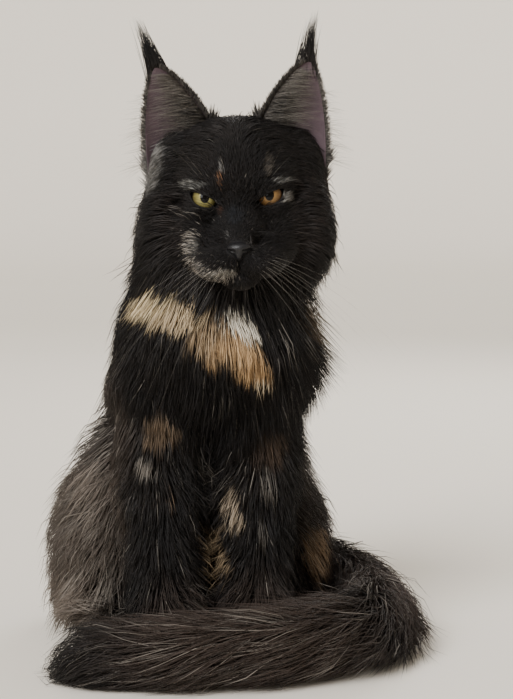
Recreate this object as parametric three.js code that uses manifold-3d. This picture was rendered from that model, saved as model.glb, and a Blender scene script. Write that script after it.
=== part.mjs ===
// A life-size Maine Coon cat, sitting upright with its head turned to the viewer and its tail wrapped
// round its left side and across its front paws.
// Millimetres, +Z up, the cat faces -Y and its left side is +X. The origin is on the floor, at the
// middle of the flat on which the rump rests.
import * as THREE from "three";
import Module from "manifold-3d";
import { mergeVertices } from "three/addons/utils/BufferGeometryUtils.js";

const wasm = await Module();
wasm.setup();
const { Manifold } = wasm;
const V = (x, y, z) => new THREE.Vector3(x, y, z);

// Driving dimensions.
const CROWN = 420; // floor to the top of the fur between the ears
const EYE_LEVEL = CROWN - 65; // floor to the middle of the eyes
const EYE_SPACING = 48; // between the middles of the eyes
const EYE_RADIUS = 11.5;
const HEAD_AT = V(23, -138, EYE_LEVEL); // head frame: between the eyes, 38 mm behind their fronts
// The head turns towards its right, to the viewer, and leans a little to its right.
const HEAD_YAW = THREE.MathUtils.degToRad(-9);
const HEAD_ROLL = THREE.MathUtils.degToRad(-2.2);
const EAR_REACH = 98; // eye level to the tip of an ear, without its tuft
const EAR_WALL = 3;
const GAP = 0.3; // clear space between touching nodes
const CORE_SHARE = 0.5; // how much of the coat's depth the solid core takes up
const SIDES = { right: -1, left: 1 };

// The coat at each part: depth from skin to tips, and the size and spacing of its locks.
const COAT = {
  head: { depth: 14, length: 38, width: 22, spacing: 20, sink: 4 },
  neck: { depth: 38, length: 80, width: 38, spacing: 30, sink: 6 },
  chest: { depth: 30, length: 70, width: 38, spacing: 35, sink: 6 },
  rump: { depth: 28, length: 70, width: 42, spacing: 39, sink: 6 },
  thigh: { depth: 28, length: 66, width: 40, spacing: 36, sink: 6 },
  foreleg: { depth: 16, length: 50, width: 28, spacing: 29, sink: 5 },
  paw: { depth: 4 },
  tail: { depth: 34, length: 80, width: 38, spacing: 33, sink: 6 },
};

// Rounded forms, each a signed distance that blends into its neighbours.

// An ellipsoid.
function ball(coat, centre, radii, pose = new THREE.Quaternion()) {
  const toLocal = pose.clone().invert();
  const q = V(0, 0, 0);
  return (p, inset) => {
    q.copy(p).sub(centre).applyQuaternion(toLocal);
    const share = inset * coat.depth;
    const [rx, ry, rz] = [radii.x - share, radii.y - share, radii.z - share];
    const k0 = Math.hypot(q.x / rx, q.y / ry, q.z / rz);
    const k1 = Math.hypot(q.x / rx ** 2, q.y / ry ** 2, q.z / rz ** 2);
    return k1 > 0 ? (k0 * (k0 - 1)) / k1 : -Math.min(rx, ry, rz);
  };
}

// A limb that tapers from one round end to the other.
function limb(coat, from, to, fromRadius, toRadius) {
  const axis = to.clone().sub(from);
  const q = V(0, 0, 0);
  return (p, inset) => {
    q.copy(p).sub(from);
    const t = THREE.MathUtils.clamp(q.dot(axis) / axis.lengthSq(), 0, 1);
    q.addScaledVector(axis, -t);
    return q.length() - (THREE.MathUtils.lerp(fromRadius, toRadius, t) - inset * coat.depth);
  };
}

// The smooth union of several forms, blended over a given width.
function blended(forms, width) {
  return (p, inset = 1 - CORE_SHARE) => {
    let d = Infinity;
    for (const form of forms) {
      const e = form(p, inset);
      const h = Math.max(width - Math.abs(d - e), 0) / width;
      d = Math.min(d, e) - (h * h * width) / 4;
    }
    return d;
  };
}

const HEAD_POSE = new THREE.Quaternion().setFromEuler(new THREE.Euler(0, HEAD_ROLL, HEAD_YAW, "ZYX"));
const alongHead = (x, y, z) => V(x, y, z).applyQuaternion(HEAD_POSE);
const fromHead = (x, y, z) => alongHead(x, y, z).add(HEAD_AT);
const headBall = (coat, c, r, { tilt = 0, turn = 0 } = {}) => {
  const own = new THREE.Quaternion().setFromEuler(new THREE.Euler(tilt, 0, turn, "ZXY"));
  return ball(coat, fromHead(...c), V(...r), HEAD_POSE.clone().multiply(own));
};
const headLimb = (coat, a, b, ra, rb) => limb(coat, fromHead(...a), fromHead(...b), ra, rb);
const bothSides = (make) => Object.values(SIDES).flatMap(make);

// The cat's forms. Radii reach to the tips of the coat.
const SHORT = { depth: 5 };
const BARE = { depth: 0 };
const trunkForms = [
  limb(COAT.rump, V(0, 0, 58), V(0, -23, 140), 76, 76),
  limb(COAT.rump, V(0, -23, 140), V(2, -70, 200), 76, 77),
  limb(COAT.chest, V(2, -70, 200), V(4, -108, 234), 77, 74),
];
const thighForms = (s) => [
  ball(COAT.thigh, V(s * 69, -34, 64), V(53, 82, 76)),
  ball(COAT.thigh, V(s * 46, -62, 132), V(52, 56, 66)),
  limb(COAT.foreleg, V(s * 68, -20, 22), V(s * 76, -104, 18), 26, 20),
];
const neckForms = [
  limb(COAT.neck, V(5, -104, 246), V(17, -120, 312), 82, 80),
  ball(COAT.neck, V(6, -128, 248), V(64, 58, 50)),
];
const headForms = [
  headBall(COAT.head, [0, 6, 18], [62, 56, 50]),
  headBall(SHORT, [0, -22, 16], [42, 26, 28]),
  ...bothSides((s) => [
    headBall(COAT.head, [s * 46, 8, 12], [27, 34, 44]),
    headBall(COAT.head, [s * 40, 4, -26], [37, 40, 42]),
    headBall(SHORT, [s * 31, -24, -20], [19, 18, 17]),
    headBall(SHORT, [s * 16, -51, -47], [21, 22, 16], { turn: s * 0.2 }),
    headBall(SHORT, [s * 26, -28, 15], [17, 13, 8], { tilt: -0.3 }),
  ]),
  headLimb(SHORT, [0, -24, -2], [0, -59, -36], 17, 12.5),
  headBall(SHORT, [0, -45, -60], [16, 18, 11]),
  headLimb(COAT.head, [0, -4, -40], [0, -36, -52], 32, 20),
];
const forelegForms = (s) => [
  limb(COAT.foreleg, V(s * 40, -122, 205), V(s * 39, -132, 130), 42, 36),
  limb(COAT.foreleg, V(s * 39, -132, 130), V(s * 38, -156, 42), 36, 29),
  limb(COAT.foreleg, V(s * 38, -156, 42), V(s * 38, -162, 18), 29, 25),
];
const TOE_SPREAD = [-1.5, -0.5, 0.5, 1.5];
const pawForms = (at, reach, width, toeRadius) => [
  ball(COAT.paw, V(at.x, at.y, at.z), V(width, reach, 19)),
  ...TOE_SPREAD.map((k) =>
    ball(
      COAT.paw,
      V(at.x + k * width * 0.46, at.y - reach * (0.78 - 0.13 * Math.abs(k)), 12),
      V(toeRadius, toeRadius * 1.5, toeRadius * 1.25),
    ),
  ),
];
const FOREPAW_AT = (s) => V(s * 38, -170, 17);
const HINDPAW_AT = (s) => V(s * 80, -116, 16);
const forepawForms = (s) => pawForms(FOREPAW_AT(s), 34, 24, 9.5);
const hindpawForms = (s) => pawForms(HINDPAW_AT(s), 36, 22, 9);

// The tail's centreline, from its root behind the rump, round the left side and across the front.
const TAIL_ROUTE = new THREE.CatmullRomCurve3(
  [
    V(12, 42, 40),
    V(52, 62, 38),
    V(98, 48, 35),
    V(132, 4, 34),
    V(143, -58, 33),
    V(137, -122, 33),
    V(112, -178, 33),
    V(64, -212, 33),
    V(6, -224, 32),
    V(-46, -218, 29),
    V(-84, -204, 25),
  ],
  false,
  "centripetal",
);
const TAIL_STEPS = 26;
const tailRadius = (t) => 20 + 20 * Math.min(1, t * 4) * (1 - 0.35 * t ** 3);
const tailForms = Array.from({ length: TAIL_STEPS }, (_, i) => {
  const [t0, t1] = [i / TAIL_STEPS, (i + 1) / TAIL_STEPS];
  return limb(COAT.tail, TAIL_ROUTE.getPoint(t0), TAIL_ROUTE.getPoint(t1), tailRadius(t0), tailRadius(t1));
});

const trunk = blended([...trunkForms, ...neckForms, ...bothSides(thighForms)], 26);
const FIELD = {
  body: blended([trunk, ...bothSides((s) => blended(forelegForms(s), 14))], 12),
  head: blended([...headForms, neckForms[0]], 9),
  tail: blended(tailForms, 4),
};
for (const [side, s] of Object.entries(SIDES)) {
  FIELD["forepaw_" + side] = blended([...forepawForms(s), forelegForms(s)[2]], 5);
  FIELD["hindpaw_" + side] = blended([...hindpawForms(s), thighForms(s)[1]], 5);
}
const wholeCat = (p) => {
  let d = Infinity;
  for (const field of Object.values(FIELD)) d = Math.min(d, field(p));
  return d;
};

// Meshing a form's surface: one vertex in each cell that the surface crosses.

// Grid lines from lo to hi, closer together between the two ends of the fine stretch.
function gridLines(lo, hi, step, fine = null) {
  const lines = [lo];
  while (lines.at(-1) < hi) {
    const at = lines.at(-1);
    lines.push(at + (fine && at >= fine[0] && at < fine[1] ? fine[2] : step));
  }
  return lines;
}

const CLOSED = 1e3; // the value on the outermost grid lines, which closes every surface
function surfaceOf(field, xs, ys, zs) {
  const [nx, ny, nz] = [xs.length, ys.length, zs.length];
  const value = new Float64Array(nx * ny * nz);
  const index = (i, j, k) => (k * ny + j) * nx + i;
  const p = V(0, 0, 0);
  for (let k = 0; k < nz; k++)
    for (let j = 0; j < ny; j++)
      for (let i = 0; i < nx; i++) {
        const edge = !i || !j || !k || i === nx - 1 || j === ny - 1 || k === nz - 1;
        value[index(i, j, k)] = edge ? CLOSED : field(p.set(xs[i], ys[j], zs[k]));
      }
  separateCorners(value, [nx, ny, nz]);

  const corner = (n) => [n & 1, (n >> 1) & 1, (n >> 2) & 1];
  const cellEdges = [];
  for (let a = 0; a < 8; a++)
    for (const bit of [1, 2, 4]) if (!(a & bit)) cellEdges.push([corner(a), corner(a | bit)]);
  const cellVertex = new Map();
  const positions = [];
  for (let k = 0; k < nz - 1; k++)
    for (let j = 0; j < ny - 1; j++)
      for (let i = 0; i < nx - 1; i++) {
        const sum = V(0, 0, 0);
        let crossings = 0;
        for (const [a, b] of cellEdges) {
          const va = value[index(i + a[0], j + a[1], k + a[2])];
          const vb = value[index(i + b[0], j + b[1], k + b[2])];
          if (va < 0 === vb < 0) continue;
          const t = va / (va - vb);
          sum.x += THREE.MathUtils.lerp(xs[i + a[0]], xs[i + b[0]], t);
          sum.y += THREE.MathUtils.lerp(ys[j + a[1]], ys[j + b[1]], t);
          sum.z += THREE.MathUtils.lerp(zs[k + a[2]], zs[k + b[2]], t);
          crossings++;
        }
        if (!crossings) continue;
        cellVertex.set(index(i, j, k), positions.length / 3);
        positions.push(sum.x / crossings, sum.y / crossings, sum.z / crossings);
      }

  const triangles = [];
  const vertexAt = (n) => V().fromArray(positions, n * 3);
  const quad = (a, b, c, d, turned) => {
    const shortFirst = vertexAt(a).distanceTo(vertexAt(c)) < vertexAt(b).distanceTo(vertexAt(d));
    const faces = shortFirst ? [a, b, c, a, c, d] : [a, b, d, b, c, d];
    triangles.push(...(turned ? faces.reverse() : faces));
  };
  for (let k = 0; k < nz - 1; k++)
    for (let j = 0; j < ny - 1; j++)
      for (let i = 0; i < nx - 1; i++) {
        const inside = value[index(i, j, k)] < 0;
        const cell = (di, dj, dk) => cellVertex.get(index(i + di, j + dj, k + dk));
        if (inside !== value[index(i + 1, j, k)] < 0)
          quad(cell(0, -1, -1), cell(0, 0, -1), cell(0, 0, 0), cell(0, -1, 0), !inside);
        if (inside !== value[index(i, j + 1, k)] < 0)
          quad(cell(-1, 0, -1), cell(-1, 0, 0), cell(0, 0, 0), cell(0, 0, -1), !inside);
        if (inside !== value[index(i, j, k + 1)] < 0)
          quad(cell(-1, -1, 0), cell(0, -1, 0), cell(0, 0, 0), cell(-1, 0, 0), !inside);
      }
  return { positions, triangles };
}

// Fills in grid corners where two parts of a surface would meet along an edge.
function separateCorners(value, [nx, ny, nz]) {
  const strides = [1, nx, nx * ny];
  let found = true;
  while (found) {
    found = false;
    for (let k = 0; k < nz - 1; k++)
      for (let j = 0; j < ny - 1; j++)
        for (let i = 0; i < nx - 1; i++) {
          const at = (k * ny + j) * nx + i;
          for (const [u, v] of [[0, 1], [1, 2], [2, 0]]) {
            const ring = [at, at + strides[u], at + strides[u] + strides[v], at + strides[v]];
            const [a, b, c, d] = ring.map((n) => value[n] < 0);
            if (a !== c || b !== d || a === b) continue;
            const outer = ring.filter((n) => value[n] >= 0);
            value[value[outer[0]] < value[outer[1]] ? outer[0] : outer[1]] = -0.01;
            found = true;
          }
        }
  }
}

// Solids and their joins and cuts.

function solidFrom(positions, triangles) {
  return new Manifold(
    new wasm.Mesh({
      numProp: 3,
      vertProperties: new Float32Array(positions),
      triVerts: new Uint32Array(triangles),
    }),
  );
}

function solidOf(geometry) {
  const bare = geometry.clone();
  for (const name of ["normal", "uv"]) bare.deleteAttribute(name);
  const merged = mergeVertices(bare, 1e-3);
  return solidFrom(merged.attributes.position.array, merged.index.array);
}

const joined = (solids) => Manifold.union(solids);
const largest = (solid) =>
  solid.decompose().reduce((best, s) => (s.volume() > best.volume() ? s : best));

// A solid with its corners snapped to a fine grid, so that the cuts leave no narrower sliver, and the
// edges along which two of its parts then touch.
function snappedTo(step, mesh) {
  const ids = new Map();
  const positions = [];
  const welded = Array.from({ length: mesh.numVert }, (_, n) => {
    const start = n * mesh.numProp;
    const at = Array.from(mesh.vertProperties.subarray(start, start + 3), (v) => Math.round(v / step));
    const key = at.join();
    if (!ids.has(key)) {
      ids.set(key, ids.size);
      positions.push(...at.map((v) => v * step));
    }
    return ids.get(key);
  });
  const faces = new Map();
  for (let n = 0; n < mesh.triVerts.length; n += 3) {
    const face = Array.from(mesh.triVerts.subarray(n, n + 3), (v) => welded[v]);
    if (new Set(face).size < 3) continue;
    const key = [...face].sort((a, b) => a - b).join();
    if (faces.has(key)) faces.delete(key);
    else faces.set(key, face);
  }
  const edges = new Set();
  const meetings = [];
  for (const [a, b, c] of faces.values())
    for (const [from, to] of [[a, b], [b, c], [c, a]]) {
      const key = from + "," + to;
      if (edges.has(key)) meetings.push([from, to].map((v) => V().fromArray(positions, v * 3)));
      edges.add(key);
    }
  return { positions, triangles: [...faces.values()].flat(), meetings };
}

// The same solid without slivers, opened where two of its parts touch along an edge.
const SNAPS = [0.01, 0.02, 0.006, 0.004, 0.03, 0.002];
const OPENING = 0.4;
function cleaned(solid) {
  const mesh = solid.getMesh();
  let least = null;
  for (const step of SNAPS) {
    const { positions, triangles, meetings } = snappedTo(step, mesh);
    if (!meetings.length) return largest(solidFrom(positions, triangles));
    if (!least || meetings.length < least.length) least = meetings;
  }
  let opened = solid;
  for (const [from, to] of least) {
    const wedge = new THREE.IcosahedronGeometry(from.distanceTo(to) / 2 + OPENING, 0);
    wedge.translate((from.x + to.x) / 2, (from.y + to.y) / 2, (from.z + to.z) / 2);
    opened = opened.subtract(solidOf(wedge));
  }
  return cleaned(largest(opened));
}

// The half of space on the side of a plane that its normal points to.
const FAR = 900;
function halfSpace({ point, normal }, inset) {
  const box = new THREE.BoxGeometry(2 * FAR, 2 * FAR, 2 * FAR);
  const facing = new THREE.Quaternion().setFromUnitVectors(V(0, 0, 1), normal);
  box.translate(0, 0, FAR + inset).applyQuaternion(facing).translate(point.x, point.y, point.z);
  return solidOf(box);
}
const flipped = ({ point, normal }) => ({ point, normal: normal.clone().negate() });
const within = (solid, planes, inset = GAP / 2) =>
  planes.reduce((kept, plane) => kept.intersect(halfSpace(plane, inset)), solid);
const plane = (point, normal) => ({ point, normal: normal.normalize() });

// Cuts between the nodes.
const FLOOR = plane(V(0, 0, 0), V(0, 0, 1));
const HEAD_CUT = plane(fromHead(0, 16, -36), alongHead(0, -0.585, 0.81));
const NECK_CUT = plane(V(5, -106, 258), V(0, -0.45, 0.89));
const WAIST_CUT = plane(V(0, -50, 165), V(0, -0.53, 0.85));
const THIGH_CUT = (s) => plane(V(s * 60, -34, 92), V(s * 0.9, 0, -0.42));
const ELBOW_CUT = plane(V(0, 0, 172), V(0, 0, -1));
const LEG_BACK_CUT = plane(V(0, -96, 0), V(0, -1, 0));
const WRIST_CUT = plane(V(0, 0, 36), V(0, 0, -1));
const HOCK_CUT = plane(V(0, -96, 0), V(0, -1, 0));
const TAIL_CUTS = [0.3, 0.52, 0.76].map((t) => plane(TAIL_ROUTE.getPoint(t), TAIL_ROUTE.getTangent(t)));
const tailLength = (n) => [
  ...(n > 0 ? [TAIL_CUTS[n - 1]] : []),
  ...(n < TAIL_CUTS.length ? [flipped(TAIL_CUTS[n])] : []),
];

// Locks of the coat.

// A repeatable random number from 0 to 1.
let seed = 20261;
function random() {
  seed = (Math.imul(seed, 1664525) + 1013904223) >>> 0;
  return seed / 2 ** 32;
}
const vary = (share) => 1 + share * (2 * random() - 1);

function outward(field, p) {
  const e = 0.8;
  const slope = V(
    field(V(p.x + e, p.y, p.z)) - field(V(p.x - e, p.y, p.z)),
    field(V(p.x, p.y + e, p.z)) - field(V(p.x, p.y - e, p.z)),
    field(V(p.x, p.y, p.z + e)) - field(V(p.x, p.y, p.z - e)),
  );
  return slope.normalize();
}

// Moves a point to a height above the bodies' cores, never below the floor.
const FLOOR_CLEAR = 1.5;
function raisedTo(height, p, normal) {
  const moved = p.clone().addScaledVector(normal, height - wholeCat(p));
  moved.z = Math.max(moved.z, FLOOR_CLEAR);
  return moved;
}

// The way that the hair lies at a point of each part of the coat.
const nearestOnTail = (p) => {
  let best = 0;
  let least = Infinity;
  for (let i = 0; i <= 60; i++) {
    const d = TAIL_ROUTE.getPoint(i / 60).distanceToSquared(p);
    if (d < least) [least, best] = [d, i / 60];
  }
  return best;
};
const LIE = {
  head: (p) => V(Math.sign(p.x - HEAD_AT.x) * 0.55, 0.45, -0.75),
  neck: (p) => V((p.x - 6) * 0.004, p.y > -100 ? 0.35 : -0.1, -1),
  chest: (p) => V(p.x * 0.003, p.y > -90 ? 0.45 : 0.05, -1),
  rump: (p) => V(p.x * 0.003, 0.5, -0.85),
  thigh: (p) => V(Math.sign(p.x) * 0.25, 0.3 + 0.004 * (p.y + 34), -0.85),
  foreleg: (p) => V(Math.sign(p.x) * (Math.abs(p.x) - 38) * 0.008, p.y > -150 ? 0.3 : 0, -1),
  tail: (p) => {
    const t = nearestOnTail(p);
    const away = p.clone().sub(TAIL_ROUTE.getPoint(t)).normalize();
    return TAIL_ROUTE.getTangent(t).addScaledVector(away, 0.2);
  },
};

// A flat lock that rises from its root, bends along the coat's lie and tapers to a point.
// It is made twice: as it is, and fatter by the gap all round, for cutting its neighbours clear.
const LOCK_STATIONS = [
  { along: 0, lift: 0, width: 0.8, thick: 1 },
  { along: 0.34, lift: 0.42, width: 1, thick: 1 },
  { along: 0.7, lift: 0.82, width: 0.66, thick: 0.75 },
];
const LOCK_THICK = 5.5;
const FLOOR_BEND = 36; // below this height locks bend outwards, to lie along the floor

function alongSurface(lie, normal, height) {
  const flow = lie.projectOnPlane(normal).normalize();
  const down = THREE.MathUtils.clamp(height / FLOOR_BEND, 0, 1);
  const out = V(normal.x, normal.y, 0).multiplyScalar(1 - down);
  return flow.multiply(V(1, 1, down)).add(out).normalize();
}

function lockPath(root, lie, length, lift, sink) {
  const points = [];
  let p = root.clone();
  let walked = 0;
  let side = null;
  for (const { along, lift: share } of [...LOCK_STATIONS, { along: 1, lift: 1 }]) {
    let normal = outward(wholeCat, p);
    const flow = alongSurface(lie(p), normal, p.z);
    p = p.clone().addScaledVector(flow, (along - walked) * length);
    walked = along;
    normal = outward(wholeCat, p);
    const height = along === 0 ? -sink : lift * share + LOCK_THICK * 0.5;
    p = raisedTo(height, p, normal);
    const across = flow.cross(normal).normalize();
    side = side ? side.clone().multiplyScalar(0.7).add(across).projectOnPlane(normal).normalize() : across;
    points.push({ p, normal, side, height });
  }
  return points;
}

// A clockwise outline with each of its sides moved outwards.
function widened(outline, grow) {
  const count = outline.length;
  const normals = outline.map((p, n) => {
    const along = outline[(n + 1) % count].clone().sub(p).normalize();
    return new THREE.Vector2(-along.y, along.x);
  });
  return outline.map((p, n) => {
    const before = normals[(n + count - 1) % count];
    const both = before.clone().add(normals[n]);
    return p.clone().addScaledVector(both, grow / Math.max(0.06, 1 + before.dot(normals[n])));
  });
}

function lockSolid(path, width, grow) {
  const positions = [];
  LOCK_STATIONS.forEach((station, i) => {
    const { p, normal, side, height } = path[i];
    const half = (width * station.width) / 2;
    const thick = LOCK_THICK * station.thick;
    const [left, right] = [-1, 1].map((s) => {
      const edge = p.clone().addScaledVector(side, s * half);
      const fall = wholeCat(edge) - (height - thick * 0.4);
      edge.addScaledVector(normal, -THREE.MathUtils.clamp(fall, thick * 0.1, 0.7 * half));
      edge.z = Math.max(edge.z, FLOOR_CLEAR);
      return new THREE.Vector2(s * half, edge.sub(p).dot(normal));
    });
    const section = widened([left, new THREE.Vector2(0, thick * 0.6), right], grow);
    const start = i === 0 ? path[0].p.clone().sub(path[1].p).setLength(grow * 3 + 1e-6) : V(0, 0, 0);
    for (const q of section)
      positions.push(...p.clone().add(start).addScaledVector(side, q.x).addScaledVector(normal, q.y));
  });
  const [last, tip] = [path.at(-2).p, path.at(-1).p];
  positions.push(...tip.clone().addScaledVector(tip.clone().sub(last).normalize(), grow * 10));
  const triangles = [0, 2, 1];
  const rings = LOCK_STATIONS.length;
  for (let r = 0; r < rings; r++)
    for (let a = 0; a < 3; a++) {
      const b = (a + 1) % 3;
      const [p0, p1] = [3 * r + a, 3 * r + b];
      if (r === rings - 1) triangles.push(p0, p1, 3 * rings);
      else if (a !== 1) triangles.push(p0, p1, p1 + 3, p0, p1 + 3, p0 + 3);
      else triangles.push(p0, p1, p0 + 3, p1, p1 + 3, p0 + 3);
    }
  return crossesItself(positions, triangles) ? null : solidFrom(positions, triangles);
}

// Whether an edge of a closed mesh runs through one of its faces.
function crossesItself(positions, triangles) {
  const at = (n) => V().fromArray(positions, triangles[n] * 3);
  const ray = new THREE.Ray();
  const hit = V();
  for (let e = 0; e < triangles.length; e++) {
    const next = e % 3 === 2 ? e - 2 : e + 1;
    const [from, to] = [at(e), at(next)];
    const length = from.distanceTo(to);
    ray.set(from, to.clone().sub(from).normalize());
    for (let f = 0; f < triangles.length; f += 3) {
      if (triangles.slice(f, f + 3).some((v) => v === triangles[e] || v === triangles[next])) continue;
      if (ray.intersectTriangle(at(f), at(f + 1), at(f + 2), false, hit) && hit.distanceTo(from) < length)
        return true;
    }
  }
  return false;
}


// A lock that would cross itself where the coat bends sharply is tried again, smaller each time.
const liesInside = (solid, outer) => solid.subtract(outer).volume() < 0.02;
const LOCK_TRIES = [1, 0.9, 0.8, 0.7, 0.6];

// Roots spread evenly over a core's surface, with free space above them and clear of the cuts.
const ROOT_TRIES = 6000;
function rootsOn(core, spacing, planes, room, lie, allowed) {
  const mesh = core.getMesh();
  const at = (n) => V().fromArray(mesh.vertProperties, mesh.triVerts[n] * mesh.numProp);
  const faces = [];
  let area = 0;
  for (let n = 0; n < mesh.triVerts.length; n += 3) {
    const face = new THREE.Triangle(at(n), at(n + 1), at(n + 2));
    area += face.getArea();
    faces.push({ face, upTo: area });
  }
  const roots = [];
  for (let n = 0; n < ROOT_TRIES; n++) {
    const pick = random() * area;
    const { face } = faces.find(({ upTo }) => upTo >= pick);
    let [u, v] = [random(), random()];
    if (u + v > 1) [u, v] = [1 - u, 1 - v];
    const p = face.a.clone().multiplyScalar(1 - u - v).addScaledVector(face.b, u).addScaledVector(face.c, v);
    const normal = face.getNormal(V());
    const flow = lie(p).normalize();
    const clearOfCuts = planes.every(
      (cut) => p.clone().sub(cut.point).dot(cut.normal) > (flow.dot(cut.normal) > 0.2 ? 4 : 10),
    );
    if (!clearOfCuts || p.z < 8 || Math.abs(wholeCat(p)) > 2.5) continue;
    if (wholeCat(p.clone().addScaledVector(normal, room)) < room * 0.6) continue;
    if (allowed && !allowed(p, normal)) continue;
    if (roots.some((r) => r.distanceTo(p) < spacing)) continue;
    roots.push(p);
  }
  return roots;
}

function coatOf(core, coat, lie, planes, allowed) {
  const locks = [];
  const fat = [];
  const lift = coat.depth * CORE_SHARE;
  for (const root of rootsOn(core, coat.spacing, planes, Math.max(lift, 8), lie, allowed)) {
    for (const size of LOCK_TRIES) {
      const turn = (random() - 0.5) * 0.5;
      const turned = (p) => lie(p).applyAxisAngle(outward(wholeCat, root), turn);
      const path = lockPath(root, turned, coat.length * vary(0.12) * size, lift * vary(0.12), coat.sink);
      const width = coat.width * vary(0.1) * Math.min(1, size);
      const lock = lockSolid(path, width, 0);
      const wide = lockSolid(path, width, GAP + 0.1);
      if (!lock || !wide || !liesInside(lock, wide)) continue;
      locks.push(lock);
      fat.push(wide);
      break;
    }
  }
  return { locks, fat };
}

// Cores of the nodes: the flesh with the dense part of the coat.
const FATTEN = 0.6; // how far a core's surface is moved out to cut its neighbours clear
const span = (s, at, half, step) => gridLines(s * at - half, s * at + half, step);
const grids = {
  body: [gridLines(-141, 141, 19, [-90, 76, 14.6]), gridLines(-230, 104, 22, [-190, -80, 15.6]), gridLines(-25, 400, 21)],
  head: [gridLines(-84, 120, 10.2), gridLines(-226, -46, 15, [-226, -165, 8]), gridLines(240, 436, 12.5, [288, 372, 8.6])],
};
for (const [side, s] of Object.entries(SIDES)) {
  grids["forepaw_" + side] = [span(s, 39, 41, 8.2), gridLines(-226, -110, 9), gridLines(-12, 84, 8)];
  grids["hindpaw_" + side] = [span(s, 80, 41, 8.2), gridLines(-172, -60, 9), gridLines(-12, 60, 8)];
}
const surface = {};
const fatSurface = {};
for (const [name, lines] of Object.entries(grids)) {
  const { positions, triangles } = surfaceOf(FIELD[name], ...lines);
  const moved = [];
  for (let n = 0; n < positions.length; n += 3) {
    const p = V().fromArray(positions, n);
    moved.push(...p.addScaledVector(outward(FIELD[name], p), FATTEN));
  }
  surface[name] = solidFrom(positions, triangles);
  fatSurface[name] = solidFrom(moved, triangles);
}

// The tail's core is swept along its route.
const TAIL_SIDES = 9;
const TAIL_RINGS = 24;
function sweep(rings) {
  const sides = rings[0].length;
  const positions = rings.flat().flatMap((p) => p.toArray());
  const triangles = [];
  for (let r = 0; r < rings.length - 1; r++)
    for (let a = 0; a < sides; a++) {
      const [p0, p1] = [r * sides + a, r * sides + ((a + 1) % sides)];
      triangles.push(p0, p1, p1 + sides, p0, p1 + sides, p0 + sides);
    }
  const end = (rings.length - 1) * sides;
  for (let a = 1; a < sides - 1; a++) triangles.push(0, a + 1, a, end, end + a, end + a + 1);
  return solidFrom(positions, triangles);
}
function ringAt(centre, along, upwards, radius, sides) {
  const across = along.clone().cross(upwards).normalize();
  const up = across.clone().cross(along).normalize();
  return Array.from({ length: sides }, (_, n) => {
    const a = (n / sides) * 2 * Math.PI;
    return centre.clone().addScaledVector(up, Math.cos(a) * radius).addScaledVector(across, Math.sin(a) * radius);
  });
}
const UP = V(0, 0, 1);
const tailCore = (grow) =>
  sweep(
    Array.from({ length: TAIL_RINGS + 1 }, (_, n) => {
      const t = n / TAIL_RINGS;
      const radius = tailRadius(t) - COAT.tail.depth * (1 - CORE_SHARE) * Math.min(1, t * 5 + 0.2) + grow;
      const roundEnd = Math.sqrt(1 - Math.max(0, (t - 0.94) / 0.066) ** 2);
      const along = TAIL_ROUTE.getTangent(t);
      const centre = TAIL_ROUTE.getPoint(t).addScaledVector(along, grow * (2 * t - 1));
      return ringAt(centre, along, UP, radius * roundEnd, TAIL_SIDES);
    }),
  );
surface.tail = tailCore(0);
fatSurface.tail = tailCore(FATTEN);

const nodes = {};
// A node's core: its source surface within some planes, above the floor and outside the legs' zone.
function addNode(name, source, planes, { coat = null, lie = null, allowed = null, zone = null } = {}) {
  const parted = (solid, inset) => {
    const kept = within(solid, planes, inset);
    return zone ? kept.subtract(within(halfSpace(zone[0], -inset), zone.slice(1), -inset)) : kept;
  };
  nodes[name] = {
    core: largest(parted(surface[source], GAP / 2).intersect(halfSpace(FLOOR, 0))),
    fatCore: parted(fatSurface[source], 0.02 - GAP / 2),
    source,
    planes,
    coat,
    lie,
    allowed,
    locks: [],
    fat: [],
  };
}

// The face: eyes in their lids, nose, mouth and ears.
function tube(points, radius, sides) {
  const route = new THREE.CatmullRomCurve3(points);
  const count = points.length * 2 - 1;
  return sweep(
    Array.from({ length: count + 1 }, (_, n) => {
      const share = Math.min(1, 0.3 + 4 * Math.min(n, count - n) / count);
      return ringAt(route.getPoint(n / count), route.getTangent(n / count), V(0, -1, 0.01), radius * share, sides);
    }),
  );
}
// The point of the face's surface at a place seen from the front, in the head's own axes.
function onFace(x, z, raise = 0) {
  const p = fromHead(x, -110, z);
  const back = fromHead(x, 0, z).sub(p).normalize();
  for (let n = 0; n < 200 && FIELD.head(p) > raise; n++) p.addScaledVector(back, Math.max(0.2, FIELD.head(p) - raise));
  return p;
}
function roundSolid(centre, radius, across = 9, around = 12) {
  const sphere = new THREE.SphereGeometry(radius, around, across);
  sphere.rotateX(Math.PI / 2).translate(centre.x, centre.y, centre.z);
  return solidOf(sphere);
}
// The opening between the lids, seen from the front: its inner corner is low and its upper lid flat.
const LIDS = [[-9.4, -3.4], [-4.5, 1.6], [2, 4.6], [7.2, 4.6], [9.2, 2.4], [7, -2.4], [2.6, -5.6], [-3.4, -6]];
const EYE_AT = (s) => fromHead((s * EYE_SPACING) / 2, -27, 0);
const LID_THICK = 1.6;
function lidOpening(s) {
  const outline = new THREE.CatmullRomCurve3(LIDS.map(([x, z]) => V(s * x, z, 0)), true);
  const shape = new THREE.Shape(outline.getPoints(12).slice(0, -1).map((p) => new THREE.Vector2(p.x, p.y)));
  const prism = new THREE.ExtrudeGeometry(shape, { depth: 30, bevelEnabled: false });
  prism.rotateX(Math.PI / 2).applyQuaternion(HEAD_POSE);
  const at = EYE_AT(s);
  prism.translate(at.x, at.y, at.z);
  return solidOf(prism);
}
const NOSTRILS = bothSides((s) => [roundSolid(fromHead(s * 5.6, -72.4, -39.5), 2.2, 5, 6)]);
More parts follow.
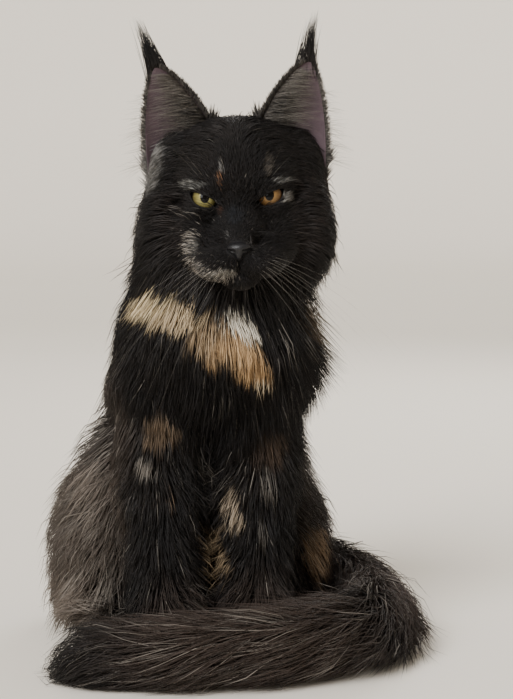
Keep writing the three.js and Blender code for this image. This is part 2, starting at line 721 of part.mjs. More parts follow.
const noseField = (grow) =>
  blended(
    [
      headBall(BARE, [0, -64, -36], [10 + grow, 6.5 + grow, 5 + grow]),
      headBall(BARE, [0, -63, -41], [4.5 + grow, 6 + grow, 5.5 + grow]),
    ],
    3,
  );
const mouthLine = [
  tube([[0, -43], [0, -52]].map(([x, z]) => onFace(x, z)), 1.5, 5),
  ...bothSides((s) => [
    tube([[0, -52], [9, -56.5], [18, -57.5], [31, -50]].map(([x, z]) => onFace(s * x, z)), 1.7, 5),
  ]),
];
function netAround(field, centre, half, step) {
  const lines = [centre.x, centre.y, centre.z].map((at) => gridLines(at - half, at + half, step));
  const { positions, triangles } = surfaceOf(field, ...lines);
  return solidFrom(positions, triangles);
}
const NOSE_AT = fromHead(0, -64, -39);
const nose = joined([netAround(noseField(0), NOSE_AT, 19, 3.4)]).subtract(joined(NOSTRILS));
let face = surface.head;
let fatFace = fatSurface.head;
for (const s of Object.values(SIDES)) {
  const lids = roundSolid(EYE_AT(s), EYE_RADIUS + GAP + LID_THICK);
  face = face.add(lids);
  fatFace = fatFace.add(lids);
}
for (const s of Object.values(SIDES)) {
  face = face.subtract(lidOpening(s)).subtract(roundSolid(EYE_AT(s), EYE_RADIUS + GAP));
  fatFace = fatFace.subtract(lidOpening(s));
}
face = face.subtract(joined(mouthLine)).subtract(netAround(noseField(GAP), NOSE_AT, 19, 3.4));
surface.head = face;
fatSurface.head = fatFace;

// An ear is a cupped shell, open to the front and a little to the side. Its base slants down outwards.
const EAR_INNER = (s) => V(s * 19, 12, 52);
const EAR_OUTER = (s) => V(s * 66, 4, 20);
const EAR_TIP = (s) => V(s * 58, 3, EAR_REACH);
const EAR_ROWS = 6;
const EAR_COLUMNS = 6;
function earSolid(s, grow = 0) {
  const base = EAR_INNER(s).add(EAR_OUTER(s)).multiplyScalar(0.5);
  const halfBase = EAR_OUTER(s).sub(EAR_INNER(s)).multiplyScalar(s * 0.5);
  const rise = EAR_TIP(s).sub(base);
  const open = V(s * 0.5, -1, 0).normalize(); // the way that the cup opens
  const across = rise.clone().cross(open).normalize();
  if (across.dot(halfBase) < 0) across.negate();
  const facing = open.clone().projectOnPlane(rise.clone().normalize()).normalize();
  const wall = (EAR_WALL + grow) / 2;
  const layer = (out) =>
    Array.from({ length: EAR_ROWS + 1 }, (_, r) => {
      const v = r / EAR_ROWS;
      const share = Math.pow(1 - v, 0.8) * (1 + 0.35 * v);
      const half = halfBase.clone().multiplyScalar(share).addScaledVector(across, 2.2 + grow);
      const deep = 16 * Math.pow(1 - v, 0.8);
      return Array.from({ length: EAR_COLUMNS + 1 }, (_, c) => {
        const a = (c / EAR_COLUMNS - 0.5) * Math.PI;
        const normal = across.clone().multiplyScalar(Math.sin(a)).addScaledVector(facing, -Math.cos(a));
        return base
          .clone()
          .addScaledVector(rise, v * (1 + (v === 1 ? grow : 0) / rise.length()))
          .addScaledVector(half, Math.sin(a))
          .addScaledVector(facing, -Math.cos(a) * deep)
          .addScaledVector(normal, out * wall * (1 - 0.4 * v));
      });
    });
  const [outer, inner] = [layer(1), layer(-1)];
  const rings = outer.map((row, r) => [...row, ...inner[r].reverse()].map((q) => fromHead(q.x, q.y, q.z)));
  const solid = sweep(rings);
  return solid.volume() > 0 ? solid : sweep(rings.reverse());
}

// A lock that stands free, laid through given points of the head's axes.
function freeLock(places, across, width, thick) {
  const points = places.map((q) => fromHead(...q));
  const positions = [];
  points.slice(0, -1).forEach((p, n) => {
    const along = points[n + 1].clone().sub(p);
    const side = alongHead(...across).projectOnPlane(along.clone().normalize()).normalize();
    const normal = side.clone().cross(along).normalize();
    const share = [0.75, 1, 0.65][n];
    for (const [a, b] of [[-1, 0], [0, 1], [1, 0]])
      positions.push(...p.clone().addScaledVector(side, (a * share * width) / 2).addScaledVector(normal, b * share * thick));
  });
  positions.push(...points.at(-1));
  const triangles = [0, 2, 1, 6, 7, 9, 7, 8, 9, 8, 6, 9];
  for (let r = 0; r < 2; r++)
    for (let a = 0; a < 3; a++) {
      const [p0, p1] = [3 * r + a, 3 * r + ((a + 1) % 3)];
      triangles.push(p0, p1, p1 + 3, p0, p1 + 3, p0 + 3);
    }
  const made = solidFrom(positions, triangles);
  return made.volume() > 0 ? made : solidFrom(positions, triangles.reverse());
}
// The tuft at an ear's tip, and the hairs that cross its opening from its inner edge.
const EAR_LOCKS = (s) => [
  freeLock([[s * 57, 4, 86], [s * 59.5, 3, 99], [s * 61.5, 2, 115], [s * (s < 0 ? 70 : 63), 0, 135]], [1, 0, 0.2], 8, 4.5),
  freeLock([[s * 60, 3, 76], [s * 62.5, 2, 90], [s * 65.5, 1, 100], [s * 71, -1, 114]], [1, -0.4, -0.4], 7, 4),
  freeLock([[s * 29, 12, 54], [s * 31, 3, 60], [s * 40, -3, 70], [s * 52, -4, 84]], [0.6, 0.3, -0.8], 8, 4),
  freeLock([[s * 36, 12, 62], [s * 37, 4, 69], [s * 45, -1, 80], [s * 55, -2, 94]], [0.6, 0.3, -0.8], 7, 4),
  freeLock([[s * 30, 6, 40], [s * 31, -4, 47], [s * 40, -10, 56], [s * 54, -10, 68]], [0.6, 0.3, -0.8], 8, 4),
];

const headLocal = (p) => p.clone().sub(HEAD_AT).applyQuaternion(HEAD_POSE.clone().invert());
const onCheeks = (p) => {
  const q = headLocal(p);
  const beside = Math.abs(q.x) > 34 && q.z < 4 && q.y > -34 && q.y < 36;
  const underJaw = Math.abs(q.x) > 10 && q.z < -50 && q.y > -40 && q.y < 36;
  return beside || underJaw;
};
const LEG_ZONE = [ELBOW_CUT, LEG_BACK_CUT];
addNode("head", "head", [HEAD_CUT], { coat: COAT.head, lie: LIE.head, allowed: onCheeks });
addNode("neck", "body", [NECK_CUT, flipped(HEAD_CUT)], { coat: COAT.neck, lie: LIE.neck });
addNode("chest", "body", [WAIST_CUT, flipped(NECK_CUT)], { coat: COAT.chest, lie: LIE.chest, zone: LEG_ZONE });
addNode("rump", "body", [flipped(WAIST_CUT), ...bothSides((s) => [flipped(THIGH_CUT(s))])], {
  coat: COAT.rump,
  lie: LIE.rump,
  zone: LEG_ZONE,
});
for (const [side, s] of Object.entries(SIDES)) {
  const own = plane(V(0, 0, 0), V(s, 0, 0));
  addNode("foreleg_" + side, "body", [...LEG_ZONE, own, flipped(WRIST_CUT)], {
    coat: COAT.foreleg,
    lie: LIE.foreleg,
    allowed: (p) => Math.abs(p.x) < 90,
  });
  addNode("forepaw_" + side, "forepaw_" + side, [WRIST_CUT]);
  addNode("thigh_" + side, "body", [THIGH_CUT(s), flipped(WAIST_CUT), flipped(HOCK_CUT)], {
    coat: COAT.thigh,
    lie: LIE.thigh,
    zone: LEG_ZONE,
  });
  addNode("hindpaw_" + side, "hindpaw_" + side, [HOCK_CUT]);
}
for (const [side, s] of Object.entries(SIDES)) {
  const ear = largest(joined([earSolid(s), ...EAR_LOCKS(s)]));
  nodes["ear_" + side] = { core: ear, fatCore: earSolid(s, 0.8), source: "ear_" + side, planes: [], locks: [], fat: [] };
  nodes["eye_" + side] = {
    core: roundSolid(EYE_AT(s), EYE_RADIUS),
    fatCore: roundSolid(EYE_AT(s), EYE_RADIUS + GAP),
    source: "eye_" + side,
    planes: [],
    locks: [],
    fat: [],
  };
}
nodes.nose = {
  core: nose,
  fatCore: netAround(noseField(GAP), NOSE_AT, 19, 3.4),
  source: "nose",
  planes: [],
  locks: [],
  fat: [],
};
["tail_root", "tail_side", "tail_front", "tail_tip"].forEach((name, n) =>
  addNode(name, "tail", tailLength(n), { coat: COAT.tail, lie: LIE.tail }),
);

const cat = new THREE.Group();
const COATED = { color: 0x2a2522, roughness: 0.85 };
const FINISH = {
  tail: { color: 0x3b302a, roughness: 0.85 },
  ear: { color: 0x5d5057, roughness: 0.8 },
  eye: { color: 0xb98a3c, roughness: 0.1 },
  nose: { color: 0x1c191b, roughness: 0.5 },
  rump: { color: 0x4a3f38, roughness: 0.85 },
  thigh: { color: 0x4a3f38, roughness: 0.85 },
};
function addMesh(name, solid) {
  const mesh = solid.getMesh();
  const geometry = new THREE.BufferGeometry();
  const positions = new Float32Array(mesh.numVert * 3);
  for (let n = 0; n < mesh.numVert; n++)
    positions.set(mesh.vertProperties.subarray(n * mesh.numProp, n * mesh.numProp + 3), n * 3);
  geometry.setAttribute("position", new THREE.BufferAttribute(positions, 3));
  geometry.setIndex(new THREE.BufferAttribute(mesh.triVerts, 1));
  geometry.computeVertexNormals();
  const finish = FINISH[name.split("_")[0]] ?? COATED;
  const node = new THREE.Mesh(geometry, new THREE.MeshStandardMaterial({ ...finish, metalness: 0 }));
  node.name = name;
  cat.add(node);
}

// Cores that are meshed apart are cut clear of one another, the earlier in this list kept whole.
const order = Object.keys(nodes).sort((a, b) => rank(a) - rank(b));
function rank(name) {
  const ranks = ["forepaw", "hindpaw", "tail", "eye", "nose", "head", "ear", "neck", "foreleg", "thigh", "chest", "rump"];
  return ranks.findIndex((start) => name.startsWith(start));
}
order.forEach((name, n) => {
  const node = nodes[name];
  for (const other of order.slice(0, n)) {
    if (nodes[other].source === node.source) continue;
    if (name === "head" && (other === "nose" || other.startsWith("eye"))) continue;
    node.core = node.core.subtract(nodes[other].fatCore);
  }
  node.core = largest(node.core);
});

for (const name of order) {
  const node = nodes[name];
  if (node.coat) Object.assign(node, coatOf(node.core, node.coat, node.lie, node.planes, node.allowed));
}

// Locks are cut clear of the other cores, then each node of the locks that lie over it.
const overlay = ["head", "neck", "chest", "tail", "foreleg", "thigh", "rump", "forepaw", "hindpaw", "ear", "eye", "nose"];
const layer = (name) => overlay.findIndex((start) => name.startsWith(start));
const liesOver = (a, b) => layer(a) < layer(b) || (layer(a) === layer(b) && a < b);
const solids = {};
for (const name of order) {
  const node = nodes[name];
  let solid = node.core;
  if (node.locks.length) {
    let coat = joined(node.locks);
    for (const other of order) if (other !== name) coat = coat.subtract(nodes[other].fatCore);
    solid = solid.add(coat);
  }
  for (const other of order)
    if (other !== name && nodes[other].fat.length && liesOver(other, name)) solid = solid.subtract(joined(nodes[other].fat));
  solids[name] = largest(solid.intersect(halfSpace(FLOOR, 0)));
}
for (const name of order) addMesh(name, cleaned(solids[name]));

export default cat;
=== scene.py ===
# A sitting Maine Coon cat, life-size and still: one skin, its coat in tufts, eyes, nose, ears and whiskers.
import itertools
import math

import bpy
import numpy as np
from mathutils import Matrix, Vector
from mathutils.kdtree import KDTree


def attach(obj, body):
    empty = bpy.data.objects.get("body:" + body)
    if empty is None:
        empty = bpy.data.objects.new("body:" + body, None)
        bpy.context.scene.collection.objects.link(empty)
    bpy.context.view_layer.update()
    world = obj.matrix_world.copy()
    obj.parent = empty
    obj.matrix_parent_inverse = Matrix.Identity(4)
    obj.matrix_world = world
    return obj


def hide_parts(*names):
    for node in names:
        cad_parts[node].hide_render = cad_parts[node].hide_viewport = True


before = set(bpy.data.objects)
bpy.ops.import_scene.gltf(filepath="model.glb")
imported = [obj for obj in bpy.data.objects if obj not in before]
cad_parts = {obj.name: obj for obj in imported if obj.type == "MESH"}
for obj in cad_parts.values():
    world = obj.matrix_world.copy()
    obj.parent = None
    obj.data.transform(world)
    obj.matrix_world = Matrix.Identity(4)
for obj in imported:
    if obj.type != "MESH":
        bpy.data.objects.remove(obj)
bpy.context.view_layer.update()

# Forms are worked out in millimetres and become metres when a mesh is made.
MM = 0.001
BODY = "root"
SIDES = {"right": -1, "left": 1}
random = np.random.default_rng(4127)
TUFT_SHARE = 1.0


def put(name, data):
    """A new object in the scene."""
    made = bpy.data.objects.new(name, data)
    bpy.context.scene.collection.objects.link(made)
    return made


# The camera stands at the photo's angle, a little above the eyes and slightly to the cat's right.
CAMERA_TURN = math.radians(9)
CAMERA_PITCH = math.radians(6.06)
CAMERA_AWAY = 1.4037
CAMERA_ASIDE = 0.0494
CAMERA_AHEAD = 0.058
CAMERA_HEIGHT = 0.380
back = Vector((-math.sin(CAMERA_TURN), -math.cos(CAMERA_TURN), 0))
aside = Vector((math.cos(CAMERA_TURN), -math.sin(CAMERA_TURN), 0))
camera_data = bpy.data.cameras.new("camera")
camera_data.lens = 90.5
camera_data.sensor_width = 36
camera = put("camera", camera_data)
camera.location = back * CAMERA_AWAY + aside * CAMERA_ASIDE + Vector((0, -CAMERA_AHEAD, CAMERA_HEIGHT))
gaze = -back * math.cos(CAMERA_PITCH) - Vector((0, 0, math.sin(CAMERA_PITCH)))
camera.rotation_euler = gaze.to_track_quat("-Z", "Y").to_euler()
bpy.context.scene.camera = camera

# The cat's sizes, the same as in its solids.
EYE_LEVEL = 355
EYE_SPACING = 48
EYE_RADIUS = 11.5
EYE_DEPTH = -27
HEAD_AT = np.array([23.0, -138.0, EYE_LEVEL])
HEAD_YAW = math.radians(-9)
HEAD_ROLL = math.radians(-2.2)
EAR_REACH = 98

# From the skin to the tips of the coat at each part.
DEPTH = {
    "bare": 0, "face": 5, "head": 10, "neck": 28, "chest": 26,
    "rump": 28, "thigh": 28, "foreleg": 16, "paw": 4, "tail": 34,
}
PARTS = list(DEPTH)


def turn_about(axis, angle):
    return np.array(Matrix.Rotation(angle, 3, axis))


def ramp(value, start, width):
    """How far a value is past a start, as a share of a width, held between 0 and 1."""
    return np.clip((value - start) / width, 0, 1)


def unit(vectors):
    return vectors / np.maximum(np.linalg.norm(vectors, axis=-1, keepdims=True), 1e-9)


HEAD_POSE = turn_about("Z", HEAD_YAW) @ turn_about("Y", HEAD_ROLL)


def from_head(x, y, z):
    """A place in the head's own axes, as a place on the cat."""
    return HEAD_AT + HEAD_POSE @ np.array([x, y, z], float)


def in_head_axes(points):
    return (points - HEAD_AT) @ HEAD_POSE


class Ball:
    """An ellipsoid whose radii reach the coat's tips; its distance is from the skin under it."""

    def __init__(self, part, centre, radii, pose=None):
        self.part = part
        self.centre = np.array(centre, float)
        self.radii = np.array(radii, float) - DEPTH[part]
        self.pose = np.eye(3) if pose is None else pose
        reach = np.abs(self.pose) @ self.radii
        self.low = self.centre - reach
        self.high = self.centre + reach

    def distance(self, x, y, z):
        offset = [v - c for v, c in zip((x, y, z), self.centre)]
        near, slope = 0.0, 0.0
        for axis in range(3):
            local = sum(offset[n] * self.pose[n, axis] for n in range(3))
            near = near + (local / self.radii[axis]) ** 2
            slope = slope + (local / self.radii[axis] ** 2) ** 2
        near = np.sqrt(near)
        return near * (near - 1) / np.maximum(np.sqrt(slope), 1e-6)


class Limb:
    """A round limb that tapers from one end to the other."""

    def __init__(self, part, start, end, start_radius, end_radius):
        self.part = part
        self.start = np.array(start, float)
        self.axis = np.array(end, float) - self.start
        self.radii = np.array([start_radius, end_radius], float) - DEPTH[part]
        ends = np.array([self.start, self.start + self.axis])
        self.low = (ends - self.radii[:, None]).min(0)
        self.high = (ends + self.radii[:, None]).max(0)

    def distance(self, x, y, z):
        offset = [v - c for v, c in zip((x, y, z), self.start)]
        along = sum(o * a for o, a in zip(offset, self.axis)) / (self.axis @ self.axis)
        along = np.clip(along, 0, 1)
        square = sum((o - along * a) ** 2 for o, a in zip(offset, self.axis))
        return np.sqrt(square) - (self.radii[0] + along * (self.radii[1] - self.radii[0]))


def smooth_least(a, b, width):
    """The lesser of two distances, rounded where they are nearly alike."""
    near = np.maximum(width - np.abs(a - b), 0) / width
    return np.minimum(a, b) - near * near * width / 4


class Blend:
    """The smooth union of forms and blends."""

    def __init__(self, width, *members):
        self.width = width
        self.members = members
        self.low = np.min([m.low for m in members], axis=0)
        self.high = np.max([m.high for m in members], axis=0)

    def distance(self, x, y, z):
        least = self.members[0].distance(x, y, z)
        for member in self.members[1:]:
            least = smooth_least(least, member.distance(x, y, z), self.width)
        return least

    def forms(self):
        for member in self.members:
            yield from member.forms() if isinstance(member, Blend) else [member]


def head_ball(part, centre, radii, tilt=0.0, turn=0.0):
    pose = HEAD_POSE @ turn_about("Z", turn) @ turn_about("X", tilt)
    return Ball(part, from_head(*centre), radii, pose)


def head_limb(part, start, end, start_radius, end_radius):
    return Limb(part, from_head(*start), from_head(*end), start_radius, end_radius)


def both_sides(make):
    return [form for s in SIDES.values() for form in make(s)]


def eye_at(s):
    return from_head(s * EYE_SPACING / 2, EYE_DEPTH, 0)


LID_RADIUS = EYE_RADIUS + 1.7
trunk_forms = [
    Limb("rump", (0, 0, 58), (0, -23, 140), 76, 76),
    Limb("rump", (0, -23, 140), (2, -70, 200), 76, 77),
    Limb("chest", (2, -70, 200), (4, -108, 234), 77, 74),
]
neck_forms = [
    Limb("neck", (5, -104, 246), (17, -120, 312), 82, 80),
    Ball("neck", (6, -128, 248), (64, 58, 50)),
]


def thigh_forms(s):
    return [
        Ball("thigh", (s * 69, -34, 64), (53, 82, 76)),
        Ball("thigh", (s * 46, -62, 132), (52, 56, 66)),
        Limb("foreleg", (s * 68, -20, 22), (s * 76, -104, 18), 26, 20),
    ]


def foreleg_forms(s):
    return [
        Limb("foreleg", (s * 40, -122, 205), (s * 39, -132, 130), 42, 36),
        Limb("foreleg", (s * 39, -132, 130), (s * 38, -156, 42), 36, 29),
        Limb("foreleg", (s * 38, -156, 42), (s * 38, -162, 18), 29, 25),
    ]


def side_of_head(s):
    return [
        head_ball("head", (s * 46, 8, 12), (27, 34, 44)),
        head_ball("head", (s * 40, 4, -26), (37, 40, 42)),
        head_ball("face", (s * 31, -24, -20), (19, 18, 17)),
        head_ball("face", (s * 25, -30, -38), (20, 21, 20)),
        head_ball("face", (s * 10, -36, -24), (14, 18, 16)),
        head_ball("face", (s * 16, -51, -47), (21, 22, 16), turn=s * 0.2),
        head_ball("face", (s * 26, -28, 15), (17, 13, 8), tilt=-0.3),
        Ball("bare", eye_at(s), (LID_RADIUS, LID_RADIUS, LID_RADIUS)),
    ]


head_forms = [
    head_ball("head", (0, 6, 18), (62, 56, 50)),
    head_ball("face", (0, -22, 16), (42, 26, 28)),
    *both_sides(side_of_head),
    head_limb("face", (0, -24, -2), (0, -59, -36), 17, 12.5),
    head_ball("face", (0, -45, -60), (16, 18, 11)),
    head_limb("head", (0, -4, -40), (0, -36, -52), 32, 20),
]
TOES = (-1.5, -0.5, 0.5, 1.5)


def paw_forms(at, reach, width, height, toe):
    toes = []
    for k in TOES:
        centre = (at[0] + k * width * 0.46, at[1] - reach * (0.78 - 0.13 * abs(k)), 12)
        toes.append(Ball("paw", centre, (toe, toe * 1.5, toe * 1.25)))
    return [Ball("paw", at, (width, reach, height)), *toes]


# The tail lies round the cat's left side and across its front.
TAIL_ROUTE = np.array([
    (12, 42, 40), (52, 62, 38), (98, 48, 35), (132, 4, 34), (143, -58, 33), (137, -122, 33),
    (112, -178, 33), (64, -212, 33), (6, -224, 32), (-46, -218, 29), (-84, -204, 25),
], float)
TAIL_STEPS = 60


def smooth_route(points, steps):
    """Places evenly spaced along a curve through some points."""
    gaps = np.sqrt(np.linalg.norm(np.diff(points, axis=0), axis=1))
    knots = np.concatenate([[0], np.cumsum(gaps)])
    slopes = np.gradient(points, knots, axis=0)
    fine = np.linspace(0, knots[-1], steps * 8)
    cell = np.clip(np.searchsorted(knots, fine, side="right") - 1, 0, len(points) - 2)
    width = (knots[cell + 1] - knots[cell])[:, None]
    t = (fine - knots[cell])[:, None] / width
    start = (1 + 2 * t) * (1 - t) ** 2 * points[cell] + t * (1 - t) ** 2 * width * slopes[cell]
    end = t * t * (3 - 2 * t) * points[cell + 1] + t * t * (t - 1) * width * slopes[cell + 1]
    curve = start + end
    walked = np.concatenate([[0], np.cumsum(np.linalg.norm(np.diff(curve, axis=0), axis=1))])
    even = np.linspace(0, walked[-1], steps + 1)
    return np.stack([np.interp(even, walked, curve[:, n]) for n in range(3)], axis=1)


tail_line = smooth_route(TAIL_ROUTE, TAIL_STEPS)
tail_along = np.linspace(0, 1, TAIL_STEPS + 1)
tail_outline = 20 + 20 * np.minimum(1, tail_along * 4) * (1 - 0.35 * tail_along**3)
TAIL_SKIN = 7.5
tail_forms = []
for n in range(0, TAIL_STEPS, 3):
    radii = [TAIL_SKIN * (1 - 0.35 * tail_along[m]) + DEPTH["tail"] for m in (n, n + 3)]
    tail_forms.append(Limb("tail", tail_line[n], tail_line[n + 3], *radii))

# The hair goes on past the tail's tip, along a guide that thins out.
TAIL_HAIR_END = np.array([(-84, -204, 25), (-97, -195, 18), (-106, -182, 12)], float)
tail_guide = np.concatenate([tail_line, smooth_route(TAIL_HAIR_END, 14)[1:]])
tail_hair_form = Blend(
    5,
    *tail_forms,
    Limb("tail", TAIL_HAIR_END[0], TAIL_HAIR_END[1], 5 + DEPTH["tail"], 3 + DEPTH["tail"]),
    Limb("tail", TAIL_HAIR_END[1], TAIL_HAIR_END[2], 3 + DEPTH["tail"], 1 + DEPTH["tail"]),
)

body_form = Blend(
    12,
    Blend(26, *trunk_forms, *neck_forms, *both_sides(thigh_forms)),
    Blend(14, *foreleg_forms(-1)),
    Blend(14, *foreleg_forms(1)),
)
head_form = Blend(8, *head_forms)
# Hair of the head and ruff lies over a fuller form, which fills the hollow between cheek and neck.
ruff_form = Blend(34, body_form, head_form)
skin_form = Blend(
    7,
    body_form,
    head_form,
    Blend(4, *tail_forms),
    *[Blend(4, *paw_forms((s * 38, -170, 17), 34, 24, 19, 9.5)) for s in SIDES.values()],
    *[Blend(4, *paw_forms((s * 80, -112, 12), 34, 20, 13, 8.5)) for s in SIDES.values()],
)


# Materials.
def linear(colour):
    """An sRGB hex colour as linear red, green, blue and alpha."""
    values = [int(colour[n : n + 2], 16) / 255 for n in (1, 3, 5)]
    return [v / 12.92 if v <= 0.04045 else ((v + 0.055) / 1.055) ** 2.4 for v in values] + [1.0]


def add_node(tree, kind, inputs=None, **settings):
    """Adds a node; each input is a value, or the socket that it is linked to."""
    made = tree.nodes.new(kind)
    for name, value in settings.items():
        setattr(made, name, value)
    for key, value in (inputs or {}).items():
        if isinstance(value, bpy.types.NodeSocket):
            tree.links.new(value, made.inputs[key])
        else:
            made.inputs[key].default_value = value
    return made


def mixed(tree, share, first, second):
    """A mix of two colours, each a socket or a hex colour."""
    first, second = (linear(colour) if isinstance(colour, str) else colour for colour in (first, second))
    inputs = {"Factor": share, 6: first, 7: second}
    return add_node(tree, "ShaderNodeMix", inputs, data_type="RGBA").outputs[2]


def ranged(tree, value, low, high, start=0.0, end=1.0, smooth=False):
    """A value that goes from start to end while another goes from low to high."""
    inputs = {"Value": value, "From Min": low, "From Max": high, "To Min": start, "To Max": end}
    kind = "SMOOTHSTEP" if smooth else "LINEAR"
    return add_node(tree, "ShaderNodeMapRange", inputs, interpolation_type=kind).outputs["Result"]


def noise(tree, place, scale, detail=2.0, output="Fac"):
    inputs = {"Vector": place, "Scale": scale, "Detail": detail}
    return add_node(tree, "ShaderNodeTexNoise", inputs).outputs[output]


def vector_math(tree, operation, *values):
    made = add_node(tree, "ShaderNodeVectorMath", dict(enumerate(values)), operation=operation)
    return made.outputs["Value" if operation == "LENGTH" else "Vector"]


def number_math(tree, operation, *values):
    return add_node(tree, "ShaderNodeMath", dict(enumerate(values)), operation=operation).outputs["Value"]


def attribute(tree, name, output="Fac"):
    return add_node(tree, "ShaderNodeAttribute", attribute_name=name).outputs[output]


def object_place(tree):
    return add_node(tree, "ShaderNodeTexCoord").outputs["Object"]


def bumped(tree, shader, height, distance, strength, invert=False):
    """Gives a shader relief of some depth in metres."""
    inputs = {"Height": height, "Distance": distance, "Strength": strength}
    bump = add_node(tree, "ShaderNodeBump", inputs, invert=invert)
    tree.links.new(bump.outputs["Normal"], shader.inputs["Normal"])


def new_material(name, values):
    """A material, its node tree and its shader, with some of the shader's inputs set."""
    material = bpy.data.materials.new(name)
    material.use_nodes = True
    shader = material.node_tree.nodes["Principled BSDF"]
    for key, value in values.items():
        shader.inputs[key].default_value = value
    return material, material.node_tree, shader


def mottled_material(name, scale, first, second, roughness):
    """A plain material of two colours in soft blotches."""
    material, tree, shader = new_material(name, {"Roughness": roughness})
    blotches = noise(tree, object_place(tree), scale)
    tree.links.new(mixed(tree, blotches, first, second), shader.inputs["Base Color"])
    return material


# Where the tortoiseshell pattern leaves black: centre and radii of each patch in millimetres, its colour,
# and how full it is. Hair lies over a patch from above, so the patches give where hair is seen, not rooted.
PATCHES = [
    ("shoulder brown", (-76, -112, 175), (42, 50, 60), "#3b332d", 0.75),
    ("foreleg side brown", (-84, -108, 105), (36, 50, 74), "#433a33", 0.75),
    ("haunch taupe", (-112, -50, 92), (80, 100, 98), "#564e47", 0.92),
    ("haunch pale", (-100, -110, 130), (26, 40, 40), "#7d736a", 0.55),
    ("haunch low", (-104, -80, 30), (40, 70, 34), "#6a6057", 0.75),
    ("haunch dark top", (-98, -60, 168), (50, 56, 34), "#2f2925", 0.7),
    ("haunch dark lock", (-122, -58, 66), (26, 22, 26), "#3b332d", 0.5),
    ("right haunch", (100, -60, 80), (60, 90, 80), "#332d2a", 0.8),
    ("rump brown", (0, 60, 110), (95, 60, 100), "#3a332f", 0.8),
    ("tail brown", (20, -215, 36), (125, 62, 60), "#372d27", 0.85),
    ("tail side brown", (145, -90, 36), (62, 110, 60), "#3a2f29", 0.85),
    ("chest cream", (-52, -147, 269), (30, 30, 9), "#d0bd98", 1.0),
    ("chest sand", (-24, -164, 262), (26, 26, 9), "#b8a485", 0.95),
    ("chest white", (18, -186, 254), (17, 30, 8.5), "#dcd4c3", 1.0),
    ("chest tan", (-4, -180, 248), (20, 26, 11), "#9a8468", 0.9),
    ("chest apricot", (15, -188, 238), (22, 26, 13), "#b3946e", 1.0),
    ("chest apricot end", (31, -188, 226), (14, 22, 13), "#ab8b64", 0.95),
    ("chest pale tips", (37, -188, 215), (10, 20, 7), "#c9b698", 0.9),
    ("foreleg tan", (-40, -162, 178), (15, 20, 15), "#756350", 0.65),
    ("foreleg white", (-50, -172, 152), (13, 18, 11), "#938c83", 0.65),
    ("foreleg streak", (-36, -180, 134), (7, 16, 20), "#6f5b47", 0.5),
    ("between legs", (14, -158, 117), (7, 26, 18), "#a39480", 0.75),
    ("low streak", (2, -150, 80), (9, 40, 24), "#87745a", 0.7),
    ("left foreleg brown", (46, -152, 163), (17, 22, 20), "#4c3d31", 0.6),
    ("left ruff tan", (84, -120, 250), (16, 26, 22), "#6f604f", 0.7),
    ("right flank tan", (96, -96, 66), (15, 26, 22), "#9a8166", 0.8),
    ("right cheek", (-42, -124, 376), (9, 22, 32), "#7d7b78", 0.7),
    ("right cheek low", (-52, -110, 330), (20, 34, 26), "#33302f", 0.7),
    ("left cheek", (86, -120, 350), (16, 34, 40), "#3a302b", 0.8),
]
# Small marks of the face, in the head's own axes.
FACE_MARKS = [
    ("right brow", (-34, -38, 10), (13, 16, 3.6), "#85847f", 0.75),
    ("orange streak", (-13, -44, 14), (2.0, 12, 6), "#75543c", 0.9),
    ("silver streak", (-11, -44, 22), (2.0, 12, 5), "#8f8d89", 0.7),
    ("left brow", (35, -38, 12), (9, 16, 2.4), "#8f8e8a", 0.7),
    ("left eye edge", (38, -30, -1), (5, 14, 5), "#94918a", 0.75),
    ("left forehead", (24, -38, 24), (4, 14, 9), "#5f584f", 0.6),
    ("muzzle side", (-35, -40, -36), (6, 20, 9), "#7f7c77", 0.6),
    ("muzzle fringe", (-27, -50, -49), (9, 18, 5), "#8a8781", 0.6),
    ("lip fringe", (-13, -60, -54), (11, 16, 4), "#a5a196", 0.8),
    ("nose speck", (-9, -62, -25), (3, 10, 5), "#8b8986", 0.8),
    ("left nose speck", (12, -64, -33), (9, 10, 3.4), "#6a6764", 0.45),
    ("chin", (4, -50, -72), (14, 18, 8), "#423d3c", 0.7),
    ("right eye corner", (-13, -46, -9), (3, 12, 4), "#5a4033", 0.8),
    ("bridge", (-2, -56, -12), (8, 16, 8), "#1c1e22", 0.8),
    ("right cheek", (-50, -10, -20), (20, 34, 34), "#2b2523", 0.8),
    ("left cheek", (50, -10, -16), (20, 34, 40), "#2b2523", 0.8),
]

# How far the edges of patches and marks stray, in metres.
BODY_RAGGED = 0.026
FACE_RAGGED = 0.007


